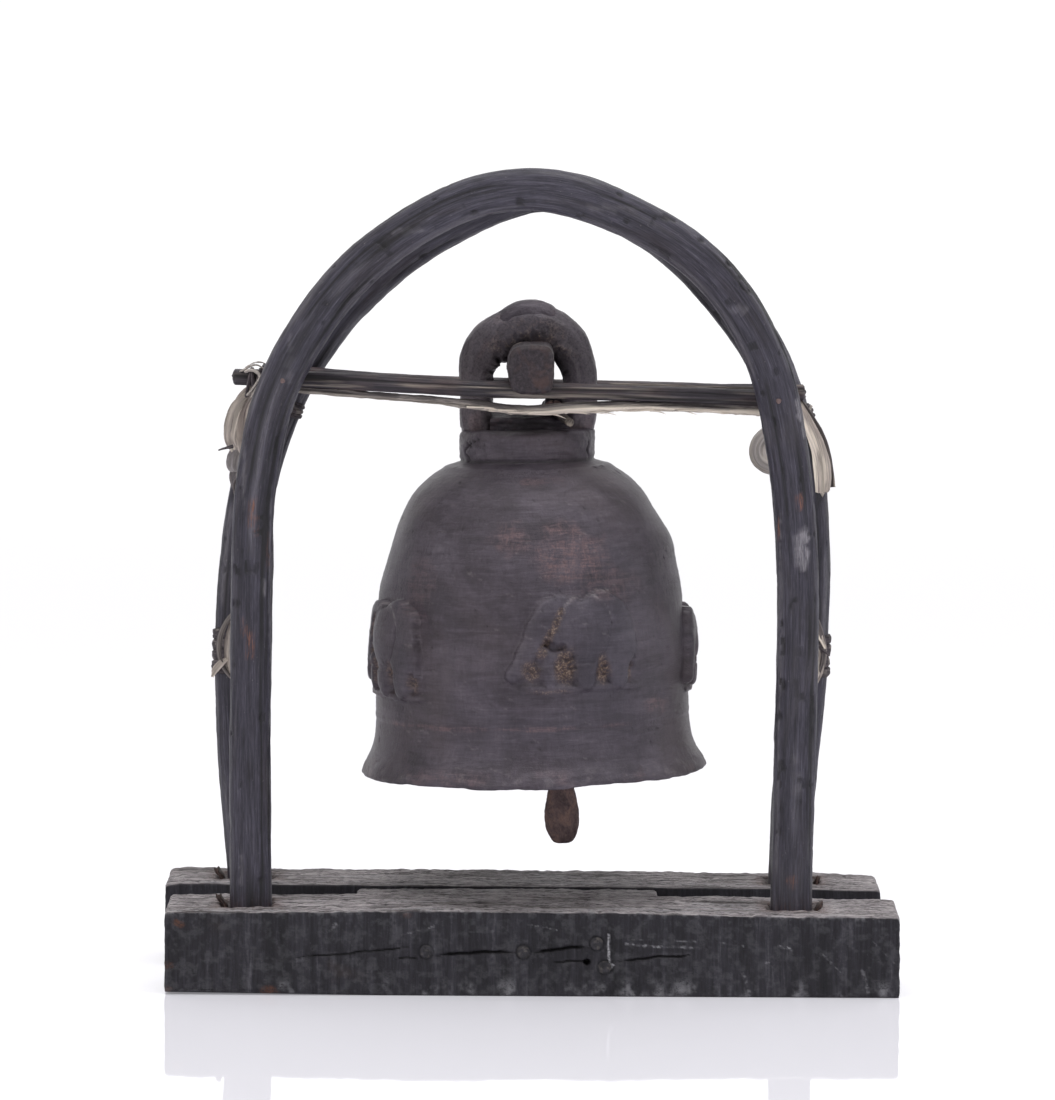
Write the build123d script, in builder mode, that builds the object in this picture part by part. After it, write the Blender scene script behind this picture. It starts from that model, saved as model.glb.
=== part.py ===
from build123d import *
import os
import math

# Temple-style hand bell hung in a bentwood stand.  Millimetres, +Z up, +Y away from the front,
# origin on the ground under the middle of the stand.

os.makedirs("parts", exist_ok=True)

# ---------------------------------------------------------------- driving dimensions
BEAM_H = 42.0            # height of each foot beam
BEAM_D = 50.0            # depth of each foot beam
BEAM_Y = 50.0            # distance of each beam's middle from the centre plane
FRONT_BEAM_X = (-180.2, 186.2)
REAR_BEAM_X = (-186.2, 183.0)
SPACER_X = (-87.5, 68.0)
SPACER_TOP = 40.0
SPACER_D = 2 * (BEAM_Y - BEAM_D / 2)

ARCH_Y = 50.0            # plane of each bent hoop, front at -Y and rear at +Y
FOOT_Z = 12.0            # bottom of the legs inside their mortises
FRONT_W, FRONT_D = 21.0, 19.0     # front hoop section, radial by depth
REAR_W, REAR_D = 24.0, 20.0       # rear hoop section
MORTISE_GAP = 0.25
WEDGE_T = 3.0

FRONT_PATH = [(-140.0, FOOT_Z), (-140.2, 70.0), (-140.8, 130.0), (-141.0, 190.0), (-138.9, 246.0),
              (-131.2, 295.0), (-114.2, 331.0), (-84.0, 370.0), (-42.5, 397.4), (0.0, 407.2),
              (42.0, 397.0), (78.0, 377.0), (105.5, 349.0), (124.3, 309.5), (132.8, 262.5),
              (136.4, 205.0), (136.2, 145.0), (134.9, 80.0), (134.7, FOOT_Z)]
REAR_PATH = [(-145.6, FOOT_Z), (-145.6, 58.0), (-150.6, 104.0), (-153.0, 155.0), (-149.6, 208.0),
             (-141.5, 262.0), (-124.0, 307.0), (-95.0, 349.0), (-54.0, 383.6), (2.0, 405.6),
             (48.0, 395.0), (88.0, 368.5), (119.0, 330.0), (136.0, 287.0), (145.0, 238.0),
             (146.2, 185.0), (142.6, 122.0), (138.2, 62.0), (138.2, FOOT_Z)]

ROD_H, ROD_D = 8.5, 9.0  # split cane cross rods
FRONT_ROD_Y = 36.0       # each rod lies against the inner face of its hoop
REAR_ROD_Y = 35.5
ROD_DROP = -0.0396       # they slope down to the right
FRONT_ROD_X = (-149.4, 137.0)
REAR_ROD_X = (-147.0, 143.7)
ROD_Z_AT_0 = 304.3

PIVOT_X, PIVOT_Z = 1.3, 310.2     # the bell turns about this line along Y
TOGGLE_W = 24.2
TOGGLE_R = 17.0          # crowned top of the hanging bar
TOGGLE_BOT = 304.2
TOGGLE_L = 100.0
NOTCH_TOP = 309.1

TILT = 1.4               # the bell hangs this many degrees off plumb
NECK_Z = 267.0           # bottom of the neck, where the shoulder starts
NECK_R, NECK_H = 33.7, 15.5
ROOF_T = 6.0
LOOP_R = 26.1            # centreline of the hanging loop
LOOP_T = 8.8             # its radius
CROWN_HOLE_R = 6.8
SADDLE_Y, SADDLE_Z, SADDLE_RISE = 9.5, 289.4, 0.155
HANG_X = 13.0            # the clapper hangs a little to the right of the middle

WIRE_R = 1.4
TWIG_R = 2.2


def rod_z(x):
    return ROD_Z_AT_0 + ROD_DROP * x


def corner_radii(points):
    """Radius for each inner corner: 0.45 of the shorter run over the tangent of half the turn."""
    radii = []
    for a, b, c in zip(points, points[1:], points[2:]):
        u = Vector(*b) - Vector(*a)
        v = Vector(*c) - Vector(*b)
        half = math.radians(u.get_angle(v)) / 2
        radii.append(0.45 * min(u.length, v.length) / math.tan(half))
    return radii


# ---------------------------------------------------------------- foot beams
def leg_x(path, end):
    return path[0][0] if end == 0 else path[-1][0]


PEG_R = 3.5
FRONT_PEGS = [(-50.0, 22.5), (-1.0, 22.5), (36.0, 27.0), (40.0, 15.0)]
REAR_PEGS = [(-44.0, 22.0), (4.0, 24.0), (42.0, 21.0)]
PEG_HOLE_R = 3.6

with BuildPart() as front_beam:
    with BuildSketch(Plane.XY) as s:
        with Locations(((FRONT_BEAM_X[0] + FRONT_BEAM_X[1]) / 2, -BEAM_Y)):
            Rectangle(FRONT_BEAM_X[1] - FRONT_BEAM_X[0], BEAM_D)
    extrude(amount=BEAM_H)
    chamfer(front_beam.edges().filter_by(Axis.X).group_by(Axis.Z)[-1], 1.6)
    with BuildSketch(Plane.XY.offset(BEAM_H)) as s:
        for end, side in ((0, -1), (1, 1)):
            with Locations((leg_x(FRONT_PATH, end) + side * WEDGE_T / 2, -BEAM_Y)):
                Rectangle(FRONT_W + WEDGE_T + 2 * MORTISE_GAP, FRONT_D + 2 * MORTISE_GAP)
    extrude(amount=-(BEAM_H - FOOT_Z + 1), mode=Mode.SUBTRACT)
    with BuildSketch(Plane.XZ.offset(BEAM_Y + BEAM_D / 2)) as s:
        with Locations(*FRONT_PEGS):
            Circle(PEG_HOLE_R)
    extrude(amount=-BEAM_D, mode=Mode.SUBTRACT)
front_beam.part.label = "front_beam"

with BuildPart() as rear_beam:
    with BuildSketch(Plane.XY) as s:
        with Locations(((REAR_BEAM_X[0] + REAR_BEAM_X[1]) / 2, BEAM_Y)):
            Rectangle(REAR_BEAM_X[1] - REAR_BEAM_X[0], BEAM_D)
    extrude(amount=BEAM_H)
    chamfer(rear_beam.edges().filter_by(Axis.X).group_by(Axis.Z)[-1], 1.6)
    with BuildSketch(Plane.XY.offset(BEAM_H)) as s:
        for end, side in ((0, -1), (1, 1)):
            with Locations((leg_x(REAR_PATH, end) + side * WEDGE_T / 2, BEAM_Y)):
                Rectangle(REAR_W + WEDGE_T + 2 * MORTISE_GAP, REAR_D + 2 * MORTISE_GAP)
    extrude(amount=-(BEAM_H - FOOT_Z + 1), mode=Mode.SUBTRACT)
    with BuildSketch(Plane.XZ.offset(-BEAM_Y - BEAM_D / 2)) as s:
        with Locations(*REAR_PEGS):
            Circle(PEG_HOLE_R)
    extrude(amount=BEAM_D, mode=Mode.SUBTRACT)
rear_beam.part.label = "rear_beam"

with BuildPart() as spacer_block:
    with BuildSketch(Plane.XY) as s:
        with Locations(((SPACER_X[0] + SPACER_X[1]) / 2, 0)):
            Rectangle(SPACER_X[1] - SPACER_X[0], SPACER_D)
    extrude(amount=SPACER_TOP)
    chamfer(spacer_block.edges().filter_by(Axis.Y).group_by(Axis.Z)[-1], 1.0)
    with BuildSketch(Plane.XZ.offset(SPACER_D / 2)) as s:
        with Locations(*FRONT_PEGS):
            Circle(PEG_HOLE_R)
    extrude(amount=-18.0, mode=Mode.SUBTRACT)
    with BuildSketch(Plane.XZ.offset(-SPACER_D / 2)) as s:
        with Locations(*REAR_PEGS):
            Circle(PEG_HOLE_R)
    extrude(amount=18.0, mode=Mode.SUBTRACT)
spacer_block.part.label = "spacer_block"

with BuildPart() as front_treenails:
    with BuildSketch(Plane.XZ.offset(BEAM_Y + BEAM_D / 2 + 0.8)) as s:
        with Locations(*FRONT_PEGS):
            Circle(PEG_R)
    extrude(amount=-(BEAM_D + 0.8 + 17.5))
    chamfer(front_treenails.faces().sort_by(Axis.Y)[0:4].edges(), 0.5)
front_treenails.part.label = "front_treenails"

with BuildPart() as rear_treenails:
    with BuildSketch(Plane.XZ.offset(-(BEAM_Y + BEAM_D / 2 + 0.8))) as s:
        with Locations(*REAR_PEGS):
            Circle(PEG_R)
    extrude(amount=BEAM_D + 0.8 + 17.5)
    chamfer(rear_treenails.faces().sort_by(Axis.Y)[-3:].edges(), 0.5)
rear_treenails.part.label = "rear_treenails"

# ---------------------------------------------------------------- bent hoops
front_radii = corner_radii(FRONT_PATH)
rear_radii = corner_radii(REAR_PATH)
print("front hoop radii", [round(r) for r in front_radii])
print("rear hoop radii", [round(r) for r in rear_radii])

with BuildPart() as front_arch:
    with BuildLine(Plane.XZ.offset(ARCH_Y)) as path:
        FilletPolyline(*FRONT_PATH, radius=front_radii)
    front_wire = path.wire()
    with BuildSketch(Plane(origin=(FRONT_PATH[0][0], -ARCH_Y, FOOT_Z), z_dir=(0, 0, 1))) as s:
        RectangleRounded(FRONT_W, FRONT_D, 5.5)
    sweep(path=path.line)
front_arch.part.label = "front_arch"

with BuildPart() as rear_arch:
    with BuildLine(Plane.XZ.offset(-ARCH_Y)) as path:
        FilletPolyline(*REAR_PATH, radius=rear_radii)
    rear_wire = path.wire()
    start = Vector(REAR_PATH[1][0] - REAR_PATH[0][0], 0, REAR_PATH[1][1] - REAR_PATH[0][1])
    with BuildSketch(Plane(origin=(REAR_PATH[0][0], ARCH_Y, FOOT_Z), x_dir=(1, 0, -start.X / start.Z), z_dir=start)) as s:
        RectangleRounded(REAR_W, REAR_D, 6.5)
    sweep(path=path.line)
rear_arch.part.label = "rear_arch"

with BuildPart() as leg_wedges:
    for path_pts, y, w in ((FRONT_PATH, -ARCH_Y, FRONT_W), (REAR_PATH, ARCH_Y, REAR_W)):
        for end, side in ((0, -1), (1, 1)):
            x0 = leg_x(path_pts, end) + side * (w / 2 + MORTISE_GAP)
            with BuildSketch(Plane.XZ.offset(-y)) as s:
                with BuildLine() as l:
                    Polyline((x0 + side * 0.15, BEAM_H + 4.0), (x0 + side * (WEDGE_T - 0.3), BEAM_H + 4.0),
                             (x0 + side * (WEDGE_T - 0.3), 24.0), (x0 + side * (WEDGE_T - 1.3), 14.0),
                             (x0 + side * 0.9, 14.0), (x0 + side * 0.15, 30.0), close=True)
                make_face()
            extrude(amount=7.0, both=True)
leg_wedges.part.label = "leg_wedges"

# ---------------------------------------------------------------- cross rods, hanging bar, cane strip
ROD_DIR = Vector(1, 0, ROD_DROP).normalized()
with BuildPart() as front_rod:
    with BuildSketch(Plane(origin=(FRONT_ROD_X[0], -FRONT_ROD_Y, rod_z(FRONT_ROD_X[0])), x_dir=(0, 1, 0), z_dir=ROD_DIR)) as s:
        RectangleRounded(ROD_D, ROD_H, 2.6)
    extrude(amount=(FRONT_ROD_X[1] - FRONT_ROD_X[0]) / ROD_DIR.X)
front_rod.part.label = "front_rod"

with BuildPart() as rear_rod:
    with BuildSketch(Plane(origin=(REAR_ROD_X[0], REAR_ROD_Y, rod_z(REAR_ROD_X[0])), x_dir=(0, 1, 0), z_dir=ROD_DIR)) as s:
        RectangleRounded(ROD_D, ROD_H, 2.6)
    extrude(amount=(REAR_ROD_X[1] - REAR_ROD_X[0]) / ROD_DIR.X)
rear_rod.part.label = "rear_rod"

with BuildPart() as toggle_bar:
    with BuildSketch(Plane.XZ.offset(TOGGLE_L / 2)) as s:
        with Locations((PIVOT_X, PIVOT_Z)):
            Circle(TOGGLE_R)
        with Locations((PIVOT_X, (TOGGLE_BOT + PIVOT_Z + 20) / 2)):
            Rectangle(TOGGLE_W, PIVOT_Z + 20 - TOGGLE_BOT, mode=Mode.INTERSECT)
        fillet(s.vertices(), 2.0)
    extrude(amount=-TOGGLE_L)
    chamfer(toggle_bar.faces().sort_by(Axis.Y)[0].edges(), 0.8)
    chamfer(toggle_bar.faces().sort_by(Axis.Y)[-1].edges(), 0.8)
    for y in (-FRONT_ROD_Y, REAR_ROD_Y):
        with BuildSketch(Plane.XY.offset(TOGGLE_BOT - 1)) as s:
            with Locations((PIVOT_X, y)):
                Rectangle(TOGGLE_W + 4, ROD_D + 0.6)
        extrude(amount=NOTCH_TOP - TOGGLE_BOT + 1, mode=Mode.SUBTRACT)
toggle_bar.part.label = "toggle_bar"

STRIP_H, STRIP_D = 4.6, 4.0
STRIP_PATH = [(-147.5, 302.6), (-105.0, 301.0), (-60.0, 298.9), (-26.0, 295.6), (0.0, 293.4), (27.0, 294.3),
              (62.0, 294.2), (98.0, 292.6), (135.0, 291.2)]
with BuildPart() as cane_strip:
    with BuildLine(Plane.XZ.offset(FRONT_ROD_Y)) as path:
        FilletPolyline(*STRIP_PATH, radius=corner_radii(STRIP_PATH))
    d = Vector(STRIP_PATH[1][0] - STRIP_PATH[0][0], 0, STRIP_PATH[1][1] - STRIP_PATH[0][1])
    with BuildSketch(Plane(origin=(STRIP_PATH[0][0], -FRONT_ROD_Y, STRIP_PATH[0][1]), x_dir=(0, 1, 0), z_dir=d)) as s:
        RectangleRounded(STRIP_D, STRIP_H, 1.2)
    sweep(path=path.line)
cane_strip.part.label = "cane_strip"

# iron nails through the hoops into the rods, where each rod crosses a hoop
NAIL_R = 1.2
NAILS_FRONT = [(-123.6, rod_z(-123.6)), (126.0, rod_z(126.0))]
NAILS_REAR = [(-122.0, rod_z(-122.0)), (132.0, rod_z(132.0))]
with BuildPart() as rod_nails:
    with BuildSketch(Plane.XZ.offset(ARCH_Y + FRONT_D / 2)) as s:
        with Locations(*NAILS_FRONT):
            Circle(NAIL_R)
    extrude(amount=-(FRONT_D + ROD_D - 1.5))
    with BuildSketch(Plane.XZ.offset(ARCH_Y + FRONT_D / 2)) as s:
        with Locations(*NAILS_FRONT):
            Circle(2.6)
    extrude(amount=1.0)
    with BuildSketch(Plane.XZ.offset(-(ARCH_Y + REAR_D / 2))) as s:
        with Locations(*NAILS_REAR):
            Circle(NAIL_R)
    extrude(amount=REAR_D + ROD_D - 1.5)
    with BuildSketch(Plane.XZ.offset(-(ARCH_Y + REAR_D / 2))) as s:
        with Locations(*NAILS_REAR):
            Circle(2.6)
    extrude(amount=-1.0)
rod_nails.part.label = "rod_nails"

# the nail holes
with BuildPart() as front_arch_drilled:
    add(front_arch.part)
    with BuildSketch(Plane.XZ.offset(ARCH_Y + FRONT_D / 2 + 1)) as s:
        with Locations(*NAILS_FRONT):
            Circle(NAIL_R + 0.05)
    extrude(amount=-(FRONT_D + 2), mode=Mode.SUBTRACT)
front_arch = front_arch_drilled
front_arch.part.label = "front_arch"

with BuildPart() as rear_arch_drilled:
    add(rear_arch.part)
    with BuildSketch(Plane.XZ.offset(-(ARCH_Y + REAR_D / 2 + 1))) as s:
        with Locations(*NAILS_REAR):
            Circle(NAIL_R + 0.05)
    extrude(amount=REAR_D + 2, mode=Mode.SUBTRACT)
rear_arch = rear_arch_drilled
rear_arch.part.label = "rear_arch"

with BuildPart() as front_rod_drilled:
    add(front_rod.part)
    with BuildSketch(Plane.XZ.offset(FRONT_ROD_Y + ROD_D / 2 + 1)) as s:
        with Locations(*NAILS_FRONT):
            Circle(NAIL_R + 0.05)
    extrude(amount=-(ROD_D + 0.6), mode=Mode.SUBTRACT)
front_rod = front_rod_drilled
front_rod.part.label = "front_rod"

with BuildPart() as rear_rod_drilled:
    add(rear_rod.part)
    with BuildSketch(Plane.XZ.offset(-(REAR_ROD_Y + ROD_D / 2 + 1))) as s:
        with Locations(*NAILS_REAR):
            Circle(NAIL_R + 0.05)
    extrude(amount=ROD_D + 0.6, mode=Mode.SUBTRACT)
rear_rod = rear_rod_drilled
rear_rod.part.label = "rear_rod"

# ---------------------------------------------------------------- cane and bark ties
def ring_plane(wire, z, right, y):
    """Plane across a hoop's leg at height z, with its x axis across the leg."""
    span = [i / 4000 for i in range(2000, 4001)] if right else [i / 4000 for i in range(0, 2001)]
    u = min(span, key=lambda t: abs(wire.position_at(t).Z - z))
    p, t = wire.position_at(u), wire.tangent_at(u)
    if t.Z < 0:
        t = t * -1
    return Plane(origin=(p.X, y, p.Z), x_dir=(t.Z, 0, -t.X), z_dir=(t.X, 0, t.Z))


RING_T = 2.2
with BuildPart() as left_collar:
    p = ring_plane(rear_wire, 292.0, False, ARCH_Y)
    with BuildSketch(p.offset(-5.0)) as s:
        RectangleRounded(REAR_W + 0.8 + 2 * RING_T, REAR_D + 0.8 + 2 * RING_T, 8.5)
        RectangleRounded(REAR_W + 0.8, REAR_D + 0.8, 6.6, mode=Mode.SUBTRACT)
    extrude(amount=10.0)
left_collar.part.label = "left_collar"

with BuildPart() as right_collar:
    p = ring_plane(rear_wire, 283.0, True, ARCH_Y)
    with BuildSketch(p.offset(-5.5)) as s:
        RectangleRounded(REAR_W + 0.8 + 2 * RING_T, REAR_D + 0.8 + 2 * RING_T, 8.5)
        RectangleRounded(REAR_W + 0.8, REAR_D + 0.8, 6.6, mode=Mode.SUBTRACT)
    extrude(amount=11.0)
right_collar.part.label = "right_collar"

with BuildPart() as left_leg_tie:
    p = ring_plane(rear_wire, 163.0, False, ARCH_Y)
    with BuildSketch(p.offset(-12.0)) as s:
        RectangleRounded(REAR_W + 1.6 + 2 * RING_T, REAR_D + 1.6 + 2 * RING_T, 8.5)
        RectangleRounded(REAR_W + 1.6, REAR_D + 1.6, 6.6, mode=Mode.SUBTRACT)
    extrude(amount=24.0)
left_leg_tie.part.label = "left_leg_tie"

with BuildPart() as right_leg_tie:
    p = ring_plane(rear_wire, 162.0, True, ARCH_Y)
    with BuildSketch(p.offset(-11.0)) as s:
        RectangleRounded(REAR_W + 1.6 + 2 * RING_T, REAR_D + 1.6 + 2 * RING_T, 8.5)
        RectangleRounded(REAR_W + 1.6, REAR_D + 1.6, 6.6, mode=Mode.SUBTRACT)
    extrude(amount=22.0)
right_leg_tie.part.label = "right_leg_tie"

# wrap that holds the cane strip to the front rod's left end
with BuildPart() as rod_end_wrap:
    x0, x1 = -147.6, -141.6
    zc = (rod_z(-144.5) + ROD_H / 2 + 300.0) / 2
    hh = rod_z(-144.5) + ROD_H / 2 - 300.0
    with BuildSketch(Plane.YZ.offset(x0)) as s:
        with Locations((-FRONT_ROD_Y, zc)):
            RectangleRounded(ROD_D + 0.8 + 3.6, hh + 1.0 + 3.6, 4.0)
            RectangleRounded(ROD_D + 0.8, hh + 1.0, 2.2, mode=Mode.SUBTRACT)
    extrude(amount=x1 - x0)
rod_end_wrap.part.label = "rod_end_wrap"

# broad bark strips: each a thin swept ribbon in its own slanting plane
def ribbon_planes(a, b, c):
    a, b, c = Vector(*a), Vector(*b), Vector(*c)
    n = (b - a).cross(c - a).normalized()
    path_plane = Plane(origin=a, x_dir=(c - a), z_dir=n)
    section_plane = Plane(origin=a, x_dir=n, z_dir=(b - a))
    return path_plane, section_plane


BARK_T = 2.4
LEFT_BARK = [(-147.0, -26.0, 297.0), (-160.5, 2.0, 276.0), (-158.6, 44.0, 247.0)]
with BuildPart() as left_bark_strip:
    pp, sp = ribbon_planes(*LEFT_BARK)
    pts = [pp.to_local_coords(Vector(*q)) for q in LEFT_BARK]
    flat = [(q.X, q.Y) for q in pts]
    with BuildLine(pp) as path:
        FilletPolyline(*flat, radius=corner_radii(flat))
    with BuildSketch(sp) as s:
        RectangleRounded(15.0, BARK_T, 1.0)
    sweep(path=path.line)
left_bark_strip.part.label = "left_bark_strip"

RIGHT_TAIL = [(149.5, 30.0, 294.0), (160.2, 24.0, 272.0), (158.0, 14.0, 249.0)]
with BuildPart() as right_bark_tail:
    pp, sp = ribbon_planes(*RIGHT_TAIL)
    pts = [pp.to_local_coords(Vector(*q)) for q in RIGHT_TAIL]
    flat = [(q.X, q.Y) for q in pts]
    with BuildLine(pp) as path:
        FilletPolyline(*flat, radius=corner_radii(flat))
    with BuildSketch(sp) as s:
        RectangleRounded(14.0, BARK_T, 1.0)
    sweep(path=path.line)
right_bark_tail.part.label = "right_bark_tail"

RIGHT_LOOP = [(122.6, 31.0, 286.0), (113.5, 11.0, 268.0), (124.5, -6.0, 262.5)]
with BuildPart() as right_bark_loop:
    pp, sp = ribbon_planes(*RIGHT_LOOP)
    pts = [pp.to_local_coords(Vector(*q)) for q in RIGHT_LOOP]
    flat = [(q.X, q.Y) for q in pts]
    with BuildLine(pp) as path:
        FilletPolyline(*flat, radius=corner_radii(flat))
    with BuildSketch(sp) as s:
        RectangleRounded(16.0, BARK_T, 1.0)
    sweep(path=path.line)
right_bark_loop.part.label = "right_bark_loop"

# ---------------------------------------------------------------- bell casting
ct, st = math.cos(math.radians(TILT)), math.sin(math.radians(TILT))
UP = (-st, 0, ct)
BELL_XZ = Plane(origin=(0, 0, NECK_Z), x_dir=(ct, 0, st), z_dir=(0, -1, 0))
BELL_XY = Plane(origin=(0, 0, NECK_Z), x_dir=(ct, 0, st), z_dir=UP)
BELL_AXIS = Axis((0, 0, NECK_Z), UP)
SEAM_AT = math.radians(62.0)      # the profile is drawn at this bearing, clear of the relief figures


def bell_vector(x, y):
    """A direction across the bell, turned with its tilt."""
    return BELL_XY.from_local_coords(Vector(x, y, 0)) - BELL_XY.origin


BELL_RZ = Plane(origin=(0, 0, NECK_Z), x_dir=bell_vector(math.sin(SEAM_AT), -math.cos(SEAM_AT)),
                z_dir=bell_vector(-math.cos(SEAM_AT), -math.sin(SEAM_AT)))

OUTER = [(NECK_R + 0.6, -0.6), (40.5, -2.6), (48.5, -7.0), (56.0, -13.2), (61.4, -20.0), (68.6, -34.5),
         (73.6, -50.0), (77.2, -67.0), (79.6, -86.0), (80.7, -106.0), (80.6, -126.0), (81.2, -138.0), (82.4, -144.5)]
LIP = [(82.4, -144.5), (84.6, -150.5), (87.4, -156.0), (88.5, -158.6)]
INNER = [(80.6, -159.6), (78.4, -150.0), (76.4, -140.0), (75.4, -122.0), (74.6, -100.0), (72.6, -80.0),
         (69.2, -60.0), (63.4, -40.0), (56.0, -24.0), (46.5, -14.0), (34.0, -8.6), (26.5, -6.6)]
ROOF_IN = NECK_H - ROOF_T

# outline of the standing elephant in relief, facing left, x along the wall and y up
ELEPHANT = [(-26.0, -21.5), (-19.5, -21.5), (-18.5, -9.0), (-12.5, -5.0), (-12.0, -22.5), (-3.0, -22.5),
            (-2.0, -9.0), (6.0, -9.0), (8.5, -22.5), (18.5, -22.5), (19.5, -6.0), (24.0, -10.0), (24.5, -4.0),
            (21.5, 8.0), (14.0, 17.5), (3.0, 21.0), (-6.0, 18.5), (-13.0, 19.5), (-20.5, 14.0), (-24.0, 4.0)]
ELEPHANT_H = -97.5       # height of the figures' middle below the shoulder line
ELEPHANT_AT = [23.0, 101.0, 203.0, 303.0]   # degrees round the bell, anticlockwise from the front
RELIEF = 3.0

with BuildPart() as bell_casting:
    with BuildSketch(BELL_RZ) as s:
        with BuildLine() as l:
            Line((0, NECK_H), (NECK_R - 2.0, NECK_H))
            Line((NECK_R - 2.0, NECK_H), (NECK_R, NECK_H - 2.0))
            Line((NECK_R, NECK_H - 2.0), (NECK_R, 1.2))
            Line((NECK_R, 1.2), OUTER[0])
            Spline(*OUTER)
            Spline(*LIP)
            Line(LIP[-1], (87.3, -160.0))
            Line((87.3, -160.0), (81.4, -160.4))
            Line((81.4, -160.4), (0, -160.4))
            Line((0, -160.4), (0, NECK_H))
        make_face()
    revolve(axis=BELL_AXIS)
    # the reliefs: each outline run through a skin 3 mm proud of the wall
    for a in ELEPHANT_AT:
        with BuildPart(mode=Mode.PRIVATE) as figure:
            ax = math.radians(a)
            n = bell_vector(math.sin(ax), -math.cos(ax))
            xd = bell_vector(math.cos(ax), math.sin(ax))
            o = Vector(0, 0, NECK_Z) + Vector(*UP) * ELEPHANT_H + n * 60.0
            with BuildSketch(Plane(origin=o, x_dir=xd, z_dir=n)) as s:
                with BuildLine() as l:
                    Polyline(*ELEPHANT, close=True)
                make_face()
            extrude(amount=40.0)
            with BuildSketch(BELL_RZ) as s:
                with BuildLine() as l:
                    skin = [(r + RELIEF, h) for r, h in OUTER[4:11]]
                    Spline(*skin)
                    Line(skin[-1], (50.0, skin[-1][1]))
                    Line((50.0, skin[-1][1]), (50.0, skin[0][1]))
                    Line((50.0, skin[0][1]), skin[0])
                make_face()
            revolve(axis=BELL_AXIS, mode=Mode.INTERSECT)
        add(figure.part)
    # hollow
    with BuildSketch(BELL_RZ) as s:
        with BuildLine() as l:
            Line((0, ROOF_IN), (24.0, ROOF_IN))
            Line((24.0, ROOF_IN), (26.5, ROOF_IN - 2.5))
            Line((26.5, ROOF_IN - 2.5), INNER[-1])
            Spline(*INNER[::-1])
            Line(INNER[0], (81.4, -160.4))
            Line((81.4, -160.4), (81.4, -164.0))
            Line((81.4, -164.0), (0, -164.0))
            Line((0, -164.0), (0, ROOF_IN))
        make_face()
    revolve(axis=BELL_AXIS, mode=Mode.SUBTRACT)
    # saddle between the loop's feet, its top sloping up to the back
    with BuildSketch(Plane.YZ.offset(-19.0)) as s:
        with BuildLine() as l:
            Polyline((-SADDLE_Y, NECK_Z + 8.0), (-SADDLE_Y, SADDLE_Z - SADDLE_Y * SADDLE_RISE),
                     (SADDLE_Y, SADDLE_Z + SADDLE_Y * SADDLE_RISE), (SADDLE_Y, NECK_Z + 8.0), close=True)
        make_face()
    extrude(amount=40.0)
    # hole in the crown for the clapper's hanger
    with BuildSketch(Plane.XY.offset(NECK_Z)) as s:
        with Locations((HANG_X, 0)):
            Circle(CROWN_HOLE_R)
    extrude(amount=30.0, mode=Mode.SUBTRACT)
    # hanging loop: an upturned U of thick round section, centred on the pivot line
    loop_c = BELL_XY.to_local_coords(Vector(PIVOT_X, 0, PIVOT_Z))
    with BuildLine(BELL_XZ) as path:
        Line((loop_c.X - LOOP_R, NECK_H - 4.0), (loop_c.X - LOOP_R, loop_c.Z))
        ThreePointArc((loop_c.X - LOOP_R, loop_c.Z), (loop_c.X, loop_c.Z + LOOP_R), (loop_c.X + LOOP_R, loop_c.Z))
        Line((loop_c.X + LOOP_R, loop_c.Z), (loop_c.X + LOOP_R, NECK_H - 4.0))
    foot = BELL_XY.from_local_coords(Vector(loop_c.X - LOOP_R, 0, NECK_H - 4.0))
    with BuildSketch(Plane(origin=foot, x_dir=(ct, 0, st), z_dir=UP)) as s:
        Circle(LOOP_T)
    sweep(path=path.line)
    # the overlapping end of the loop, lying on top of it
    a0, a1, rr = math.radians(72), math.radians(140), LOOP_R + 4.6
    p0 = (loop_c.X + rr * math.cos(a1), loop_c.Z + rr * math.sin(a1))
    pm = (loop_c.X + rr * math.cos((a0 + a1) / 2), loop_c.Z + rr * math.sin((a0 + a1) / 2))
    p1 = (loop_c.X + rr * math.cos(a0), loop_c.Z + rr * math.sin(a0))
    with BuildLine(BELL_XZ) as path:
        ThreePointArc(p0, pm, p1)
    t0 = (math.sin(a1), -math.cos(a1))
    g0 = BELL_XY.from_local_coords(Vector(p0[0], 0, p0[1]))
    td = BELL_XY.from_local_coords(Vector(t0[0], 0, t0[1])) - BELL_XY.origin
    with BuildSketch(Plane(origin=g0, z_dir=td)) as s:
        Circle(8.0)
    sweep(path=path.line)
bell_casting.part.label = "bell_casting"

# ---------------------------------------------------------------- clapper and its hanger
TWIG_MID_Z = SADDLE_Z + TWIG_R + 0.45
TWIG_A = Vector(HANG_X - 4.4, 15.0, TWIG_MID_Z + 15.0 * SADDLE_RISE)
TWIG_B = Vector(HANG_X + 8.8, -31.0, TWIG_MID_Z - 31.0 * SADDLE_RISE)
with BuildPart() as clapper_twig:
    with BuildSketch(Plane(origin=TWIG_A, z_dir=TWIG_B - TWIG_A)) as s:
        Circle(TWIG_R)
    extrude(amount=(TWIG_B - TWIG_A).length)
    chamfer(clapper_twig.faces().sort_by(Axis.Y)[0].edges(), 0.6)
    chamfer(clapper_twig.faces().sort_by(Axis.Y)[-1].edges(), 0.6)
clapper_twig.part.label = "clapper_twig"

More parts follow.
